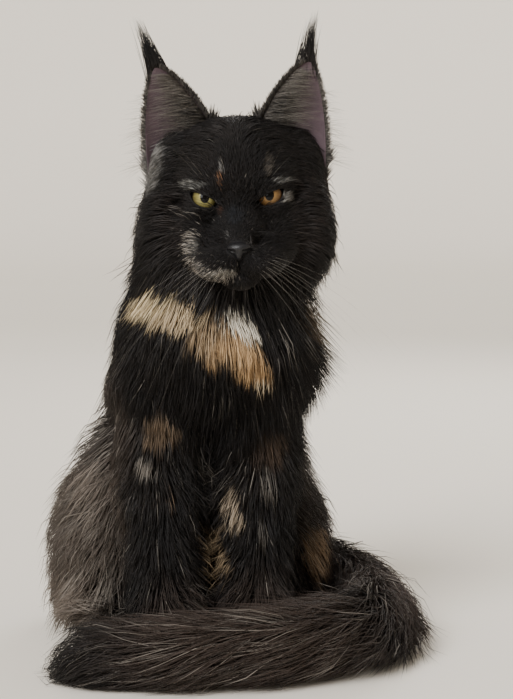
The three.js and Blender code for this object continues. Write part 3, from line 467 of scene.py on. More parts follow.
def markings_group():
    """The tortoiseshell pattern, as a colour at a place on the cat. Skin and coat share it."""
    tree = bpy.data.node_groups.new("tortoiseshell markings", "ShaderNodeTree")
    tree.interface.new_socket("Place", in_out="INPUT", socket_type="NodeSocketVector")
    tree.interface.new_socket("Colour", in_out="OUTPUT", socket_type="NodeSocketColor")
    place = add_node(tree, "NodeGroupInput").outputs["Place"]
    # Patches have ragged edges, because neighbouring locks differ; those of the short face hair less so.
    ragged = vector_math(tree, "SUBTRACT", noise(tree, place, 75.0, 2.0, "Color"), (0.5, 0.5, 0.5))

    def strayed(reach):
        return vector_math(tree, "MULTIPLY_ADD", ragged, (reach, reach, reach), place)

    head_axes = {
        "Vector": strayed(FACE_RAGGED),
        "Location": [v * MM for v in HEAD_AT],
        "Rotation": Matrix(HEAD_POSE.tolist()).to_euler(),
    }
    in_head = add_node(tree, "ShaderNodeMapping", head_axes, vector_type="TEXTURE").outputs["Vector"]
    colour = mixed(tree, noise(tree, place, 22.0, 3.0), "#08080b", "#1c1714")
    # Marks of the short face hair are broken into specks a few millimetres across.
    specks = ranged(tree, noise(tree, place, 260.0, 1.0), 0.38, 0.56, 0.12, 1.0)
    for source, marks, broken in ((strayed(BODY_RAGGED), PATCHES, None), (in_head, FACE_MARKS, specks)):
        for _, centre, radii, tint, share in marks:
            shrink = [1 / (r * MM) for r in radii]
            to_centre = [-c / r for c, r in zip(centre, radii)]
            away = vector_math(tree, "LENGTH", vector_math(tree, "MULTIPLY_ADD", source, shrink, to_centre))
            amount = ranged(tree, away, 0.6, 1.15, share, 0.0, smooth=True)
            if broken is not None:
                amount = number_math(tree, "MULTIPLY", amount, broken)
            colour = mixed(tree, amount, colour, tint)
    add_node(tree, "NodeGroupOutput", {"Colour": colour})
    return tree


# Making meshes.
FAR = 1e3


def on_grid(form, xs, ys, zs):
    """A form's distance at each point of a grid, worked out only near each of its members."""
    if not isinstance(form, Blend):
        return form.distance(xs[:, None, None], ys[None, :, None], zs[None, None, :])
    least = np.full((len(xs), len(ys), len(zs)), FAR)
    for member in form.members:
        reach = 12 + form.width
        cut = tuple(
            slice(np.searchsorted(line, low - reach), np.searchsorted(line, high + reach))
            for line, low, high in zip((xs, ys, zs), member.low, member.high)
        )
        if min(c.stop - c.start for c in cut) > 0:
            near = on_grid(member, xs[cut[0]], ys[cut[1]], zs[cut[2]])
            least[cut] = smooth_least(least[cut], near, form.width)
    return least


def surface_net(value, xs, ys, zs):
    """A quad mesh of the zero level: one corner in each cell that it crosses."""
    lines = (xs, ys, zs)
    inside = value < 0
    size = np.array(value.shape) - 1
    count = sum(
        inside[i : size[0] + i, j : size[1] + j, k : size[2] + k].astype(np.int8)
        for i, j, k in itertools.product((0, 1), repeat=3)
    )
    crossed = (count > 0) & (count < 8)
    number = np.full(crossed.shape, -1)
    number[crossed] = np.arange(crossed.sum())
    cells = np.stack(np.nonzero(crossed))
    total = np.zeros((3, cells.shape[1]))
    hits = np.zeros(cells.shape[1])
    faces = []
    for axis in range(3):
        a, b = [n for n in range(3) if n != axis]
        # Each corner is the middle of the places where the surface crosses its cell's edges.
        for over_a, over_b in itertools.product((0, 1), repeat=2):
            start = cells.copy()
            start[a] += over_a
            start[b] += over_b
            end = start.copy()
            end[axis] += 1
            v0, v1 = value[tuple(start)], value[tuple(end)]
            cut = (v0 < 0) != (v1 < 0)
            share = np.where(cut, v0 / np.where(cut, v0 - v1, 1), 0)
            for n in range(3):
                at, ahead = lines[n][start[n]], lines[n][end[n]]
                total[n] += np.where(cut, at + share * (ahead - at) if n == axis else at, 0)
            hits += cut
        # Each crossed edge gives a face between the four cells round it.
        low = [slice(1, -1)] * 3
        low[axis] = slice(0, -1)
        high = list(low)
        high[axis] = slice(1, None)
        edges = np.stack(np.nonzero(inside[tuple(low)] != inside[tuple(high)]))
        edges[a] += 1
        edges[b] += 1
        leaving = inside[tuple(edges)]
        around = []
        for back_a, back_b in ((1, 1), (0, 1), (0, 0), (1, 0)):
            cell = edges.copy()
            cell[a] -= back_a
            cell[b] -= back_b
            around.append(number[tuple(cell)])
        quads = np.stack(around, axis=1)
        flip = leaving if axis == 1 else ~leaving
        quads[flip] = quads[flip][:, ::-1]
        faces.append(quads)
    return (total / hits).T, np.concatenate(faces)


def grid_line(low, high, step, fine=None):
    """Places from low to high a step apart, and closer within the fine stretch."""
    places = [low]
    while places[-1] < high:
        close = fine is not None and fine[0] <= places[-1] < fine[1]
        places.append(places[-1] + (fine[2] if close else step))
    return np.array(places)


def new_mesh(name, corners, faces, material, smooth=True):
    """A mesh in metres of faces with the same number of corners each, given in millimetres."""
    mesh = bpy.data.meshes.new(name)
    sides = faces.shape[1]
    mesh.vertices.add(len(corners))
    mesh.vertices.foreach_set("co", (np.asarray(corners) * MM).astype(np.float32).ravel())
    mesh.loops.add(faces.size)
    mesh.loops.foreach_set("vertex_index", faces.astype(np.int32).ravel())
    mesh.polygons.add(len(faces))
    mesh.polygons.foreach_set("loop_start", np.arange(0, faces.size, sides, dtype=np.int32))
    mesh.polygons.foreach_set("use_smooth", np.full(len(faces), smooth))
    mesh.update(calc_edges=True)
    mesh.materials.append(material)
    return mesh


def mixed_mesh(name, corners, faces, material):
    """A smooth mesh in metres, of lists of corners and of faces that differ in how many they have."""
    mesh = bpy.data.meshes.new(name)
    mesh.from_pydata(corners, [], faces)
    mesh.polygons.foreach_set("use_smooth", np.ones(len(faces), bool))
    mesh.materials.append(material)
    return mesh


def add_attribute(mesh, name, kind, domain, values):
    """Adds an attribute to a mesh, with a number or a vector for each of its items."""
    held = mesh.attributes.new(name, kind, domain)
    key = "vector" if kind == "FLOAT_VECTOR" else "value"
    held.data.foreach_set(key, np.asarray(values, np.float32).ravel())


def ring_faces(rings, around):
    """Quads between closed rings of corners, each ring with the same number."""
    r, n = np.meshgrid(np.arange(rings - 1), np.arange(around), indexing="ij")
    m = (n + 1) % around
    low, high = r * around, (r + 1) * around
    return np.stack([low + n, low + m, high + m, high + n], axis=-1).reshape(-1, 4)


def new_piece(mesh, slot):
    """Puts a mesh in the scene as a piece of the cat."""
    piece = put(mesh.name, mesh)
    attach(piece, BODY)
    return piece


SLOPE_STEP = 0.4


def gradient(form, points, value=None):
    """The outward direction of a form at some points."""
    value = form.distance(*points.T) if value is None else value
    slopes = [form.distance(*(points + SLOPE_STEP * np.eye(3)[n]).T) - value for n in range(3)]
    return unit(np.stack(slopes, axis=1))


# The skin: one net over body, head, legs and tail, finer at the head.
def nose_distance(points, grow=0.0):
    """The nose leather: a rounded wedge over a narrow stem."""
    q = in_head_axes(points)
    wedge = Ball("bare", (0, -63.5, -36), (8.8 + grow, 6.4 + grow, 4.5 + grow)).distance(*q.T)
    stem = Ball("bare", (0, -62.5, -40.5), (3.3 + grow, 6 + grow, 4.6 + grow)).distance(*q.T)
    return smooth_least(wedge, stem, 3)


# The mouth seen from the front: down from the nose, then out to each side under the whisker pads.
MOUTH = [
    [(0, -43), (0, -52)],
    [(0, -52), (9, -56.5), (18, -57.5), (31, -50)],
    [(0, -52), (-9, -56.5), (-18, -57.5), (-31, -50)],
]


def line_distance(q, lines):
    """How far places in the head's axes are from some lines on the face, seen from the front."""
    least = np.full(len(q), FAR)
    for line in lines:
        for (x0, z0), (x1, z1) in zip(line, line[1:]):
            dx, dz = x1 - x0, z1 - z0
            t = np.clip(((q[:, 0] - x0) * dx + (q[:, 2] - z0) * dz) / (dx * dx + dz * dz), 0, 1)
            least = np.minimum(least, np.hypot(q[:, 0] - x0 - t * dx, q[:, 2] - z0 - t * dz))
    return np.where(q[:, 1] < -25, least, FAR)


def refined(form, corners, rounds=2, most=1.0):
    """Moves corners near a form's surface onto it."""
    for _ in range(rounds):
        away = form.distance(*corners.T)
        moved = corners - gradient(form, corners, away) * np.clip(away, -most, most)[:, None]
        corners = np.where(np.abs(away)[:, None] < 2.5, moved, corners)
    return corners


def skin_net():
    xs = grid_line(-145, 165, 4.2, (-48, 92, 1.7))
    ys = grid_line(-265, 100, 4.2, (-222, -90, 1.7))
    zs = grid_line(-8, 425, 4.2, (285, 418, 1.7))
    value = on_grid(skin_form, xs, ys, zs)
    corners, faces = surface_net(value, xs, ys, zs)
    corners = refined(skin_form, corners)
    # The mouth's line is pressed in.
    q = in_head_axes(corners)
    pressed = 2.2 * np.exp(-((line_distance(q, MOUTH) / 1.5) ** 2))
    corners = corners - gradient(skin_form, corners) * pressed[:, None]
    corners[:, 2] = np.maximum(corners[:, 2], 0.4)
    # No skin lies where the eyeballs are.
    for s in SIDES.values():
        middle = corners[faces].mean(1)
        in_socket = np.linalg.norm(middle - eye_at(s), axis=1) < LID_RADIUS + 6
        in_front = in_head_axes(middle)[:, 1] < -31
        opening = in_lid_opening(in_head_axes(middle), s, 0.9)
        faces = faces[~(in_socket & in_front & opening)]
    return corners, faces


# The opening between the lids, seen from the front: its inner corner is low and its upper lid nearly flat.
LIDS = np.array([
    (-10.2, -5.2), (-6.8, -1.6), (-2.2, 1.2), (2.8, 3.3), (7.2, 4.7), (10.0, 4.6),
    (9.7, 1.2), (7.2, -2.8), (3.2, -5.5), (-1.6, -6.7), (-6.0, -6.7), (-9.2, -6.1),
], float)


def closed_curve(points, steps):
    """A smooth closed curve through some points."""
    count = len(points)
    t = np.linspace(0, count, steps, endpoint=False)
    cell = t.astype(int)
    u = (t - cell)[:, None]
    p0, p1, p2, p3 = (points[(cell + k) % count] for k in (-1, 0, 1, 2))
    bends = (2 * p0 - 5 * p1 + 4 * p2 - p3) * u**2 + (3 * p1 - p0 - 3 * p2 + p3) * u**3
    return 0.5 * (2 * p1 + (p2 - p0) * u + bends)


LID_STEPS = 72
# How far each ring of the lids is outside the opening's edge, and above the eyeball's lid or the skin.
LID_RINGS = [(0.0, -1.55), (0.1, -0.6), (0.55, 0.05), (1.4, 0.2), (3.0, 0.2), (5.5, 0.15), (8.5, -0.4)]
FACE_FRONT = -75
lid_curve = closed_curve(LIDS, LID_STEPS)
lid_along = np.roll(lid_curve, -1, axis=0) - np.roll(lid_curve, 1, axis=0)
lid_out = unit(np.stack([-lid_along[:, 1], lid_along[:, 0]], axis=1))
if (lid_out * lid_curve).sum() < 0:
    lid_out = -lid_out


def in_lid_opening(q, s, grow):
    """Whether places in the head's axes lie within an eye's opening, widened a little."""
    place = np.stack([(q[:, 0] - s * EYE_SPACING / 2) * s, q[:, 2]], axis=1)
    edge = lid_curve + lid_out * grow
    nearest = np.argmin(((place[:, None] - edge[None]) ** 2).sum(2), axis=1)
    return ((place - edge[nearest]) * lid_out[nearest]).sum(1) < 0


def lid_patch(s):
    """The lids of an eye: rings from the opening's edge on the eyeball out to the skin."""
    middle = np.array([s * EYE_SPACING / 2, EYE_DEPTH, 0])
    ahead = HEAD_POSE @ np.array([0, 1, 0])
    rings = []
    for out, raised in LID_RINGS:
        place = lid_curve + lid_out * out
        flat = np.stack([place[:, 0] * s, np.zeros(LID_STEPS), place[:, 1]], axis=1)
        round_lid = np.sqrt(np.maximum((LID_RADIUS + raised) ** 2 - (flat**2).sum(1), 0))
        # From in front of the face, the ring goes back until it meets the skin.
        start = middle + flat
        start[:, 1] = FACE_FRONT
        corners = HEAD_AT + start @ HEAD_POSE.T
        for _ in range(60):
            step = skin_form.distance(*corners.T) - raised
            corners = corners + ahead * np.clip(step, -2, 6)[:, None] * 0.8
        on_skin = in_head_axes(corners)[:, 1]
        share = ramp(out, 1.4, 3.0)
        q = middle + flat
        q[:, 1] = (EYE_DEPTH - round_lid) * (1 - share) + on_skin * share if out < 4.4 else on_skin
        rings.append(HEAD_AT + q @ HEAD_POSE.T)
    corners = np.concatenate(rings)
    return corners, faced_out(corners, ring_faces(len(rings), LID_STEPS), eye_at(s))


def faced_out(corners, faces, middle):
    """Turns all of a patch's faces round if they look towards its middle."""
    p = corners[faces]
    normal = np.cross(p[:, 2] - p[:, 0], p[:, 3] - p[:, 1])
    if (normal * (p.mean(1) - middle)).sum() < 0:
        return faces[:, ::-1]
    return faces


# Ears: cupped shells, open to the front and a little to the side, with their bases sunk in the head.
EAR_ROWS = 40
EAR_COLUMNS = 28
EAR_SUNK_ROWS = 8


def ear_frame(s):
    """An ear's base, half width, rise to its tip, way across and way that it faces, in the head's axes."""
    inner = np.array([s * 19.0, 12, 52])
    outer = np.array([s * 66.0, 4, 20])
    base = (inner + outer) / 2
    half = (outer - inner) * s / 2
    rise = np.array([s * 58.0, 3, EAR_REACH]) - base
    opening = np.array([s * 0.5, -1.0, 0.0])
    across = unit(np.cross(rise, opening))
    if across @ half < 0:
        across = -across
    up = unit(rise)
    return base, half, rise, across, unit(opening - (opening @ up) * up)


def ear_share(v):
    """How wide an ear is at a height, as a share of its width at the base."""
    free = np.clip(v, 0, 1)
    return (1 - free) ** 0.8 * (1 + 0.35 * free)


def ear_place(s, u, v, out):
    """A place on an ear: u across it from -1 to 1, v from base to tip, out to its back or its cup."""
    base, half, rise, across, facing = ear_frame(s)
    u, v, out = np.broadcast_arrays(np.asarray(u, float), np.asarray(v, float), np.asarray(out, float))
    angle = u * math.pi / 2
    free = np.clip(v, 0, 1)
    deep = 16 * (1 - free) ** 0.8
    wall = (1 - 0.6 * free) * np.maximum(1 - np.abs(u) ** 8, 0.15)
    sine, cosine = np.sin(angle)[..., None], np.cos(angle)[..., None]
    normal = across * sine - facing * cosine
    place = base + rise * v[..., None] + (half * ear_share(v)[..., None] + across * 1.2) * sine
    place = place - facing * cosine * deep[..., None] + normal * (out * wall)[..., None]
    return HEAD_AT + place @ HEAD_POSE.T


def ear_shell(s):
    """An ear's corners and faces, and which faces are on its back."""
    us = np.linspace(-1, 1, EAR_COLUMNS + 1)
    sunk = np.linspace(-0.42, 0, EAR_SUNK_ROWS, endpoint=False)
    vs = np.concatenate([sunk, np.linspace(0, 1, EAR_ROWS + 1)])
    around = np.concatenate([us, us[::-1]])
    out = np.concatenate([np.ones(len(us)), -np.ones(len(us))])
    corners = ear_place(s, around[None], vs[:, None], out[None])
    rows, ring = corners.shape[:2]
    corners = corners.reshape(-1, 3)
    faces = ring_faces(rows, ring)
    back = faces[(faces[:, 0] % ring) < EAR_COLUMNS]
    if (faced_out(corners, back, ear_place(s, 0.0, 0.4, -8.0)) != back).any():
        faces = faces[:, ::-1]
    return corners, faces, (faces.min(1) % ring) < EAR_COLUMNS


# One unwrap of the skin's own shape gives every tuft its place for baking.
def unwrap(piece):
    mesh = piece.data
    mesh.uv_layers.new(name="OFBake")
    bpy.context.view_layer.objects.active = piece
    piece.select_set(True)
    bpy.ops.object.mode_set(mode="EDIT")
    bpy.ops.mesh.select_all(action="SELECT")
    bpy.ops.uv.smart_project(angle_limit=math.radians(66), island_margin=0.002)
    bpy.ops.object.mode_set(mode="OBJECT")
    piece.select_set(False)
    uv = np.zeros(len(mesh.loops) * 2, np.float32)
    mesh.uv_layers["OFBake"].data.foreach_get("uv", uv)
    return uv.reshape(-1, 4, 2)


# The coat's lie, length and build at each part, in millimetres.
LENGTH = {
    "bare": 4, "face": 8, "head": 24, "neck": 72, "chest": 62,
    "rump": 60, "thigh": 58, "foreleg": 38, "paw": 7, "tail": 78,
}
NOSE_TIP = np.array([0.0, -67.0, -34.0])


# The way that the hair lies at a place of the trunk and legs, by x, y and the side that it is on.
FLOWS = {
    "neck": lambda x, y, side: ((x - 14) * 0.003, np.where(y > -100, 0.35, -0.06), -1),
    "chest": lambda x, y, side: (x * 0.003, np.where(y > -90, 0.45, 0.03), -1),
    "rump": lambda x, y, side: (x * 0.003, 0.5, -0.85),
    "thigh": lambda x, y, side: (side * 0.25, 0.3 + 0.004 * (y + 34), -0.85),
    "foreleg": lambda x, y, side: (side * (np.abs(x) - 38) * 0.008, np.where(y > -150, 0.3, 0.0), -1),
    "paw": lambda x, y, side: (0 * x, -0.8, -0.5),
}


def lie_of(part, points):
    """The way that the hair lies at some places of a part, before it is laid along the skin."""
    x, y, _ = points.T
    if part in FLOWS:
        return np.stack(np.broadcast_arrays(*FLOWS[part](x, y, np.where(x < 0, -1.0, 1.0))), axis=1)
    if part == "tail":
        nearest = nearest_of(points, tail_guide)
        tangent = unit(np.gradient(tail_guide, axis=0)[nearest])
        away = unit(points - tail_guide[nearest])
        # Where the tail turns forward, the hair on its outer side goes straight on.
        leaves = (tail_turn(nearest) * np.clip(away[:, 0], 0, 1))[:, None]
        return tangent + 0.25 * away + leaves * np.array([1.5, 0.1, -0.5]) + np.array([0, 0, -0.22])
    # On the head it goes away from the nose, and falls further back.
    q = in_head_axes(points)
    away = q - NOSE_TIP
    reach = np.linalg.norm(away, axis=1, keepdims=True)
    fall = ramp(reach, 50, 55)
    beside = np.sign(q[:, 0]) * ramp(np.abs(q[:, 0]), 0, 30)
    down = np.stack(np.broadcast_arrays(0.5 * beside, 0.3, -1), axis=1)
    return (away / reach * (1 - 0.6 * fall) + down * fall) @ HEAD_POSE.T


def tail_turn(nearest):
    """How near places of the tail are to its turn on the cat's left side."""
    return np.exp(-(((nearest / TAIL_STEPS - 0.5) / 0.12) ** 2))


def nearest_of(points, others):
    """For each point, which of some other points is nearest."""
    return np.argmin(((points[:, None] - others[None]) ** 2).sum(2), axis=1)


def part_weights(points):
    """How much each part's coat shows at some places, smoothly from part to part."""
    nearest = np.full((len(PARTS), len(points)), FAR)
    for form in skin_form.forms():
        n = PARTS.index("face" if form.part == "bare" else form.part)
        nearest[n] = np.minimum(nearest[n], form.distance(*points.T))
    weights = np.exp(-(nearest - nearest.min(0)) / 6)
    return weights / weights.sum(0)


def laid(form, roots, weights, lengths, heights, flares, turns, steps):
    """Paths of tufts from their roots: along the coat's lie and out from a form, bending over."""
    shown = [(part, weight) for part, weight in zip(PARTS, weights) if weight.max() > 0.02]
    pace = lengths / steps
    path = [roots.copy()]
    for step in range(1, steps + 1):
        share = step / steps
        place = path[-1]
        away = form.distance(*place.T)
        out = gradient(form, place, away)
        flow = sum(w[:, None] * lie_of(part, place) for part, w in shown)
        flow = unit(flow - (flow * out).sum(1, keepdims=True) * out)
        bend = (turns * (0.5 + 0.5 * share))[:, None]
        flow = flow * np.cos(bend) + np.cross(out, flow) * np.sin(bend)
        height = heights * (1 - (1 - share) ** 1.7) + flares * share**2
        rise = height - np.maximum(away, 0)
        along = np.sqrt(np.maximum(pace**2 - rise**2, (0.45 * pace) ** 2))
        place = place + flow * along[:, None] + out * rise[:, None]
        off = np.clip(height - form.distance(*place.T), -6, 10)
        place = place + out * (0.8 * off)[:, None]
        place[:, 2] = np.maximum(place[:, 2], 0.8 + 1.5 * share)
        path.append(place)
    return np.stack(path, axis=1)


# How wide a tuft is along its length, as a share of its full width.
TUFT_BUILD = ([0, 0.35, 0.7, 1.0], [0.8, 1.0, 0.6, 0.0])
# Each tuft's patch of the unwrap is this wide, at its root's place.
PATCH_ACROSS = 0.003


def tuft_mesh(name, paths, widths, outs, patches, shades, pales, material):
    """One mesh of many closed tufts: three-sided, thickest near the root and pointed at the tip."""
    count, stations = paths.shape[:2]
    rings = stations - 1
    along = np.linspace(0, 1, stations)
    build = np.interp(along[:-1], *TUFT_BUILD)
    tangents = unit(np.gradient(paths, axis=1))
    sides = unit(np.cross(tangents, outs[:, None]))
    half = (widths[:, None] * build / 2)[..., None]
    aside = sides[:, :-1] * half
    up = np.cross(sides, tangents)[:, :-1] * half * 0.9
    starts = paths[:, :-1]
    ringed = np.stack([starts - aside, starts + up, starts + aside], axis=2).reshape(count, rings * 3, 3)
    corners = np.concatenate([ringed, paths[:, -1:]], axis=1)
    each = rings * 3 + 1
    pattern = [[0, 2, 1]]
    for r in range(rings - 1):
        for a in range(3):
            p0, p1 = 3 * r + a, 3 * r + (a + 1) % 3
            pattern += [[p0, p1, p1 + 3], [p0, p1 + 3, p0 + 3]]
    last = 3 * (rings - 1)
    pattern += [[last + a, last + (a + 1) % 3, each - 1] for a in range(3)]
    pattern = np.array(pattern)
    faces = (pattern[None] + (np.arange(count) * each)[:, None, None]).reshape(-1, 3)
    mesh = new_mesh(name, corners.reshape(-1, 3), faces, material)
    across = np.append(np.tile([-0.5, 0.0, 0.5], rings), 0.0)
    down = np.append(np.repeat(along[:-1], 3), 1.0) - 0.5
    spread = PATCH_ACROSS * np.stack([down, across], axis=1)
    uv = np.clip(patches[:, None, None] + spread[pattern][None], 0, 1)
    layer = mesh.uv_layers.new(name="OFBake")
    layer.data.foreach_set("uv", uv.astype(np.float32).ravel())
    # Where a tuft takes its marking from: mostly its own place along its length, with some of its middle's
    # and a little chance, so that patches end in locks and not in lines.
    middle = paths[:, stations // 2] + random.normal(0, 2.5, (count, 3))
    marked = np.concatenate([np.repeat(starts, 3, axis=1), paths[:, -1:]], axis=1)
    marked = (0.65 * marked + 0.35 * middle[:, None]) * MM
    add_attribute(mesh, "place", "FLOAT_VECTOR", "POINT", marked)
    add_attribute(mesh, "shade", "FLOAT", "POINT", np.repeat(shades, each))
    add_attribute(mesh, "pale", "FLOAT", "POINT", np.repeat(pales, each))
    add_attribute(mesh, "along", "FLOAT", "POINT", np.tile(down + 0.5, count))
    return mesh


# The line of the pale fringe, round the right whisker pad.
MUZZLE_FRINGE = [(-32, -27), (-36, -35), (-34, -43), (-28, -50), (-19, -54), (-7, -53)]
# How far the hair may reach to the left, and from where on it is pressed closer behind the rump.
HAIR_REACH = 199.0
HAIR_BACK = 72.0
# How many tufts make a lock, and how far the tips of its tufts may move together.
LOCK_TUFTS = 13
LEAN_REACH = 18
# Each piece of coat: which parts it covers, how many tufts, their steps and width, how much they gather
# into locks, the share of paler ones, and the finish's slot.
COATS = [
    ("coat_face", ("face", "bare"), 16600, 2, 0.44, 0.2, 0.01, "coat_black"),
    ("coat_head", ("head",), 11200, 3, 0.62, 0.4, 0.008, "coat_black"),
    ("coat_neck", ("neck",), 11600, 3, 0.8, 0.5, 0.05, "coat_black"),
    ("coat_chest", ("chest",), 9800, 3, 0.8, 0.5, 0.05, "coat_black"),
    ("coat_rump", ("rump",), 7800, 3, 0.95, 0.45, 0.15, "coat_brown"),
    ("coat_thighs", ("thigh",), 11100, 3, 0.82, 0.45, 0.2, "coat_brown"),
    ("coat_forelegs", ("foreleg",), 10800, 3, 0.76, 0.5, 0.05, "coat_black"),
    ("coat_paws", ("paw",), 2500, 2, 0.55, 0.2, 0.05, "coat_black"),
    ("coat_tail", ("tail",), 11300, 3, 0.83, 0.45, 0.15, "tail_fur"),
]


# How far locks stray from the lie of the coat, in radians, in waves some centimetres long.
WAVES = {
    "coat_neck": 0.16, "coat_chest": 0.2, "coat_rump": 0.16,
    "coat_thighs": 0.2, "coat_forelegs": 0.14, "coat_tail": 0.26,
}
WAVE_LINES = np.array([(0.11, 0.03, 0.07), (-0.05, 0.12, 0.1), (0.08, -0.1, 0.15)])


def waves_at(points):
    """A smooth sum of waves over the body, from about -1 to 1."""
    return np.sin(points @ WAVE_LINES.T + [0.4, 2.1, 4.0]).sum(1) / 2


def surface_samples(corners, faces, share, count):
    """Random places on some quads, as many as asked, with the face and the place within it."""
    p = corners[faces]
    first = np.linalg.norm(np.cross(p[:, 1] - p[:, 0], p[:, 2] - p[:, 0]), axis=1) / 2
    second = np.linalg.norm(np.cross(p[:, 2] - p[:, 0], p[:, 3] - p[:, 0]), axis=1) / 2
    areas = np.concatenate([first * share, second * share])
    picked = random.choice(len(areas), size=count, p=areas / areas.sum())
    face = picked % len(faces)
    order = np.where((picked < len(faces))[:, None], [[0, 1, 2]], [[0, 2, 3]])
    u, v = random.random((2, count))
    fold = u + v > 1
    u, v = np.where(fold, 1 - u, u), np.where(fold, 1 - v, v)
    within = np.stack([1 - u - v, u, v], axis=1)
    places = (p[face[:, None], order] * within[..., None]).sum(1)
    return places, face, order, within


def clear_of_features(places):
    """Which places on the face are clear of the eyes, the nose leather and the mouth's line."""
    q = in_head_axes(places)
    clear = (nose_distance(places) > 0.5) & (line_distance(q, MOUTH) > 1.1)
    for s in SIDES.values():
        clear &= ~(in_lid_opening(q, s, 0.9) & (q[:, 1] < -20))
    return clear


def coat_shape(name, roots, own):
    """The form that a piece of coat is laid over, and its tufts' lengths, depths and flares."""
    x, _, z = roots.T
    q = in_head_axes(roots)
    form = ruff_form if name in ("coat_head", "coat_neck") else skin_form
    lengths = np.array([LENGTH[part] for part in PARTS]) @ own
    depths = np.array([DEPTH[part] for part in PARTS], float) @ own
    flares = np.zeros(len(roots))
    if name == "coat_face":
        reach = np.linalg.norm(q - NOSE_TIP, axis=1)
        lengths = np.minimum(lengths, np.clip(3.0 + 0.11 * (reach - 8), 3.0, 11))
        depths = np.minimum(depths, 0.35 * lengths + 0.6)
    if name == "coat_head":
        # The cheeks' hair grows longer downwards and stands off over the ruff.
        jowl = ramp(-q[:, 2], 4, 32)
        beside = ramp(np.abs(q[:, 0]), 16, 22)
        crown = ramp(q[:, 2], 20, 25)
        forehead = ramp(-q[:, 1], -20, 30) * ramp(q[:, 2], 2, 15)
        lowest = ramp(-q[:, 2], 20, 18)
        front = ramp(-q[:, 1], -30, 30)
        lengths = np.where(depths < 16, np.minimum(lengths, 16), lengths) + 26 * jowl
        lengths = lengths + 3 * forehead + 12 * (1 - front)
        depths = depths * (1 - 0.25 * crown) * (1 - 0.35 * jowl * beside) * (1 - 0.5 * forehead)
        flares = (2 + np.where(x > 23, 8, 13) * lowest) * jowl * beside * front
    if name in ("coat_neck", "coat_chest"):
        depths = depths * (0.92 + 0.08 * ramp(z, 250, 35))
        depths = depths * (1 - 0.38 * ramp(-x, 8, 25) * ramp(-z, -318, 40))
        flares = 20 * ramp(x, 40, 25) * ramp(z, 235, 35)
    if name == "coat_thighs":
        depths = np.where(x < 0, 1.2, 1.0) * depths
    if name == "coat_forelegs":
        # The legs' inner sides carry longer hair, which meets between them.
        inward = -np.sign(x) * gradient(skin_form, roots)[:, 0]
        depths = depths * (1 + 0.8 * np.clip(inward, 0, 1))
        depths = depths * (1 - 0.55 * ramp(-x, 40, 15) * ramp(z, 175, 30))
    if name == "coat_tail":
        form = tail_hair_form
        nearest = nearest_of(roots, tail_line)
        top = np.clip(unit(roots - tail_line[nearest])[:, 2], 0, 1)
        behind = np.clip(1 - np.abs(tail_along[nearest] - 0.3) / 0.22, 0, 1)
        depths = (tail_outline[nearest] - TAIL_SKIN) * (1 - 0.5 * behind * top)
        lengths = lengths * np.clip(0.6 + 2 * tail_along[nearest], 0, 1.1)
        flares = 30 * tail_turn(nearest) * np.clip(x - tail_line[nearest, 0], 0, 6) / 6
    return form, lengths, depths, flares


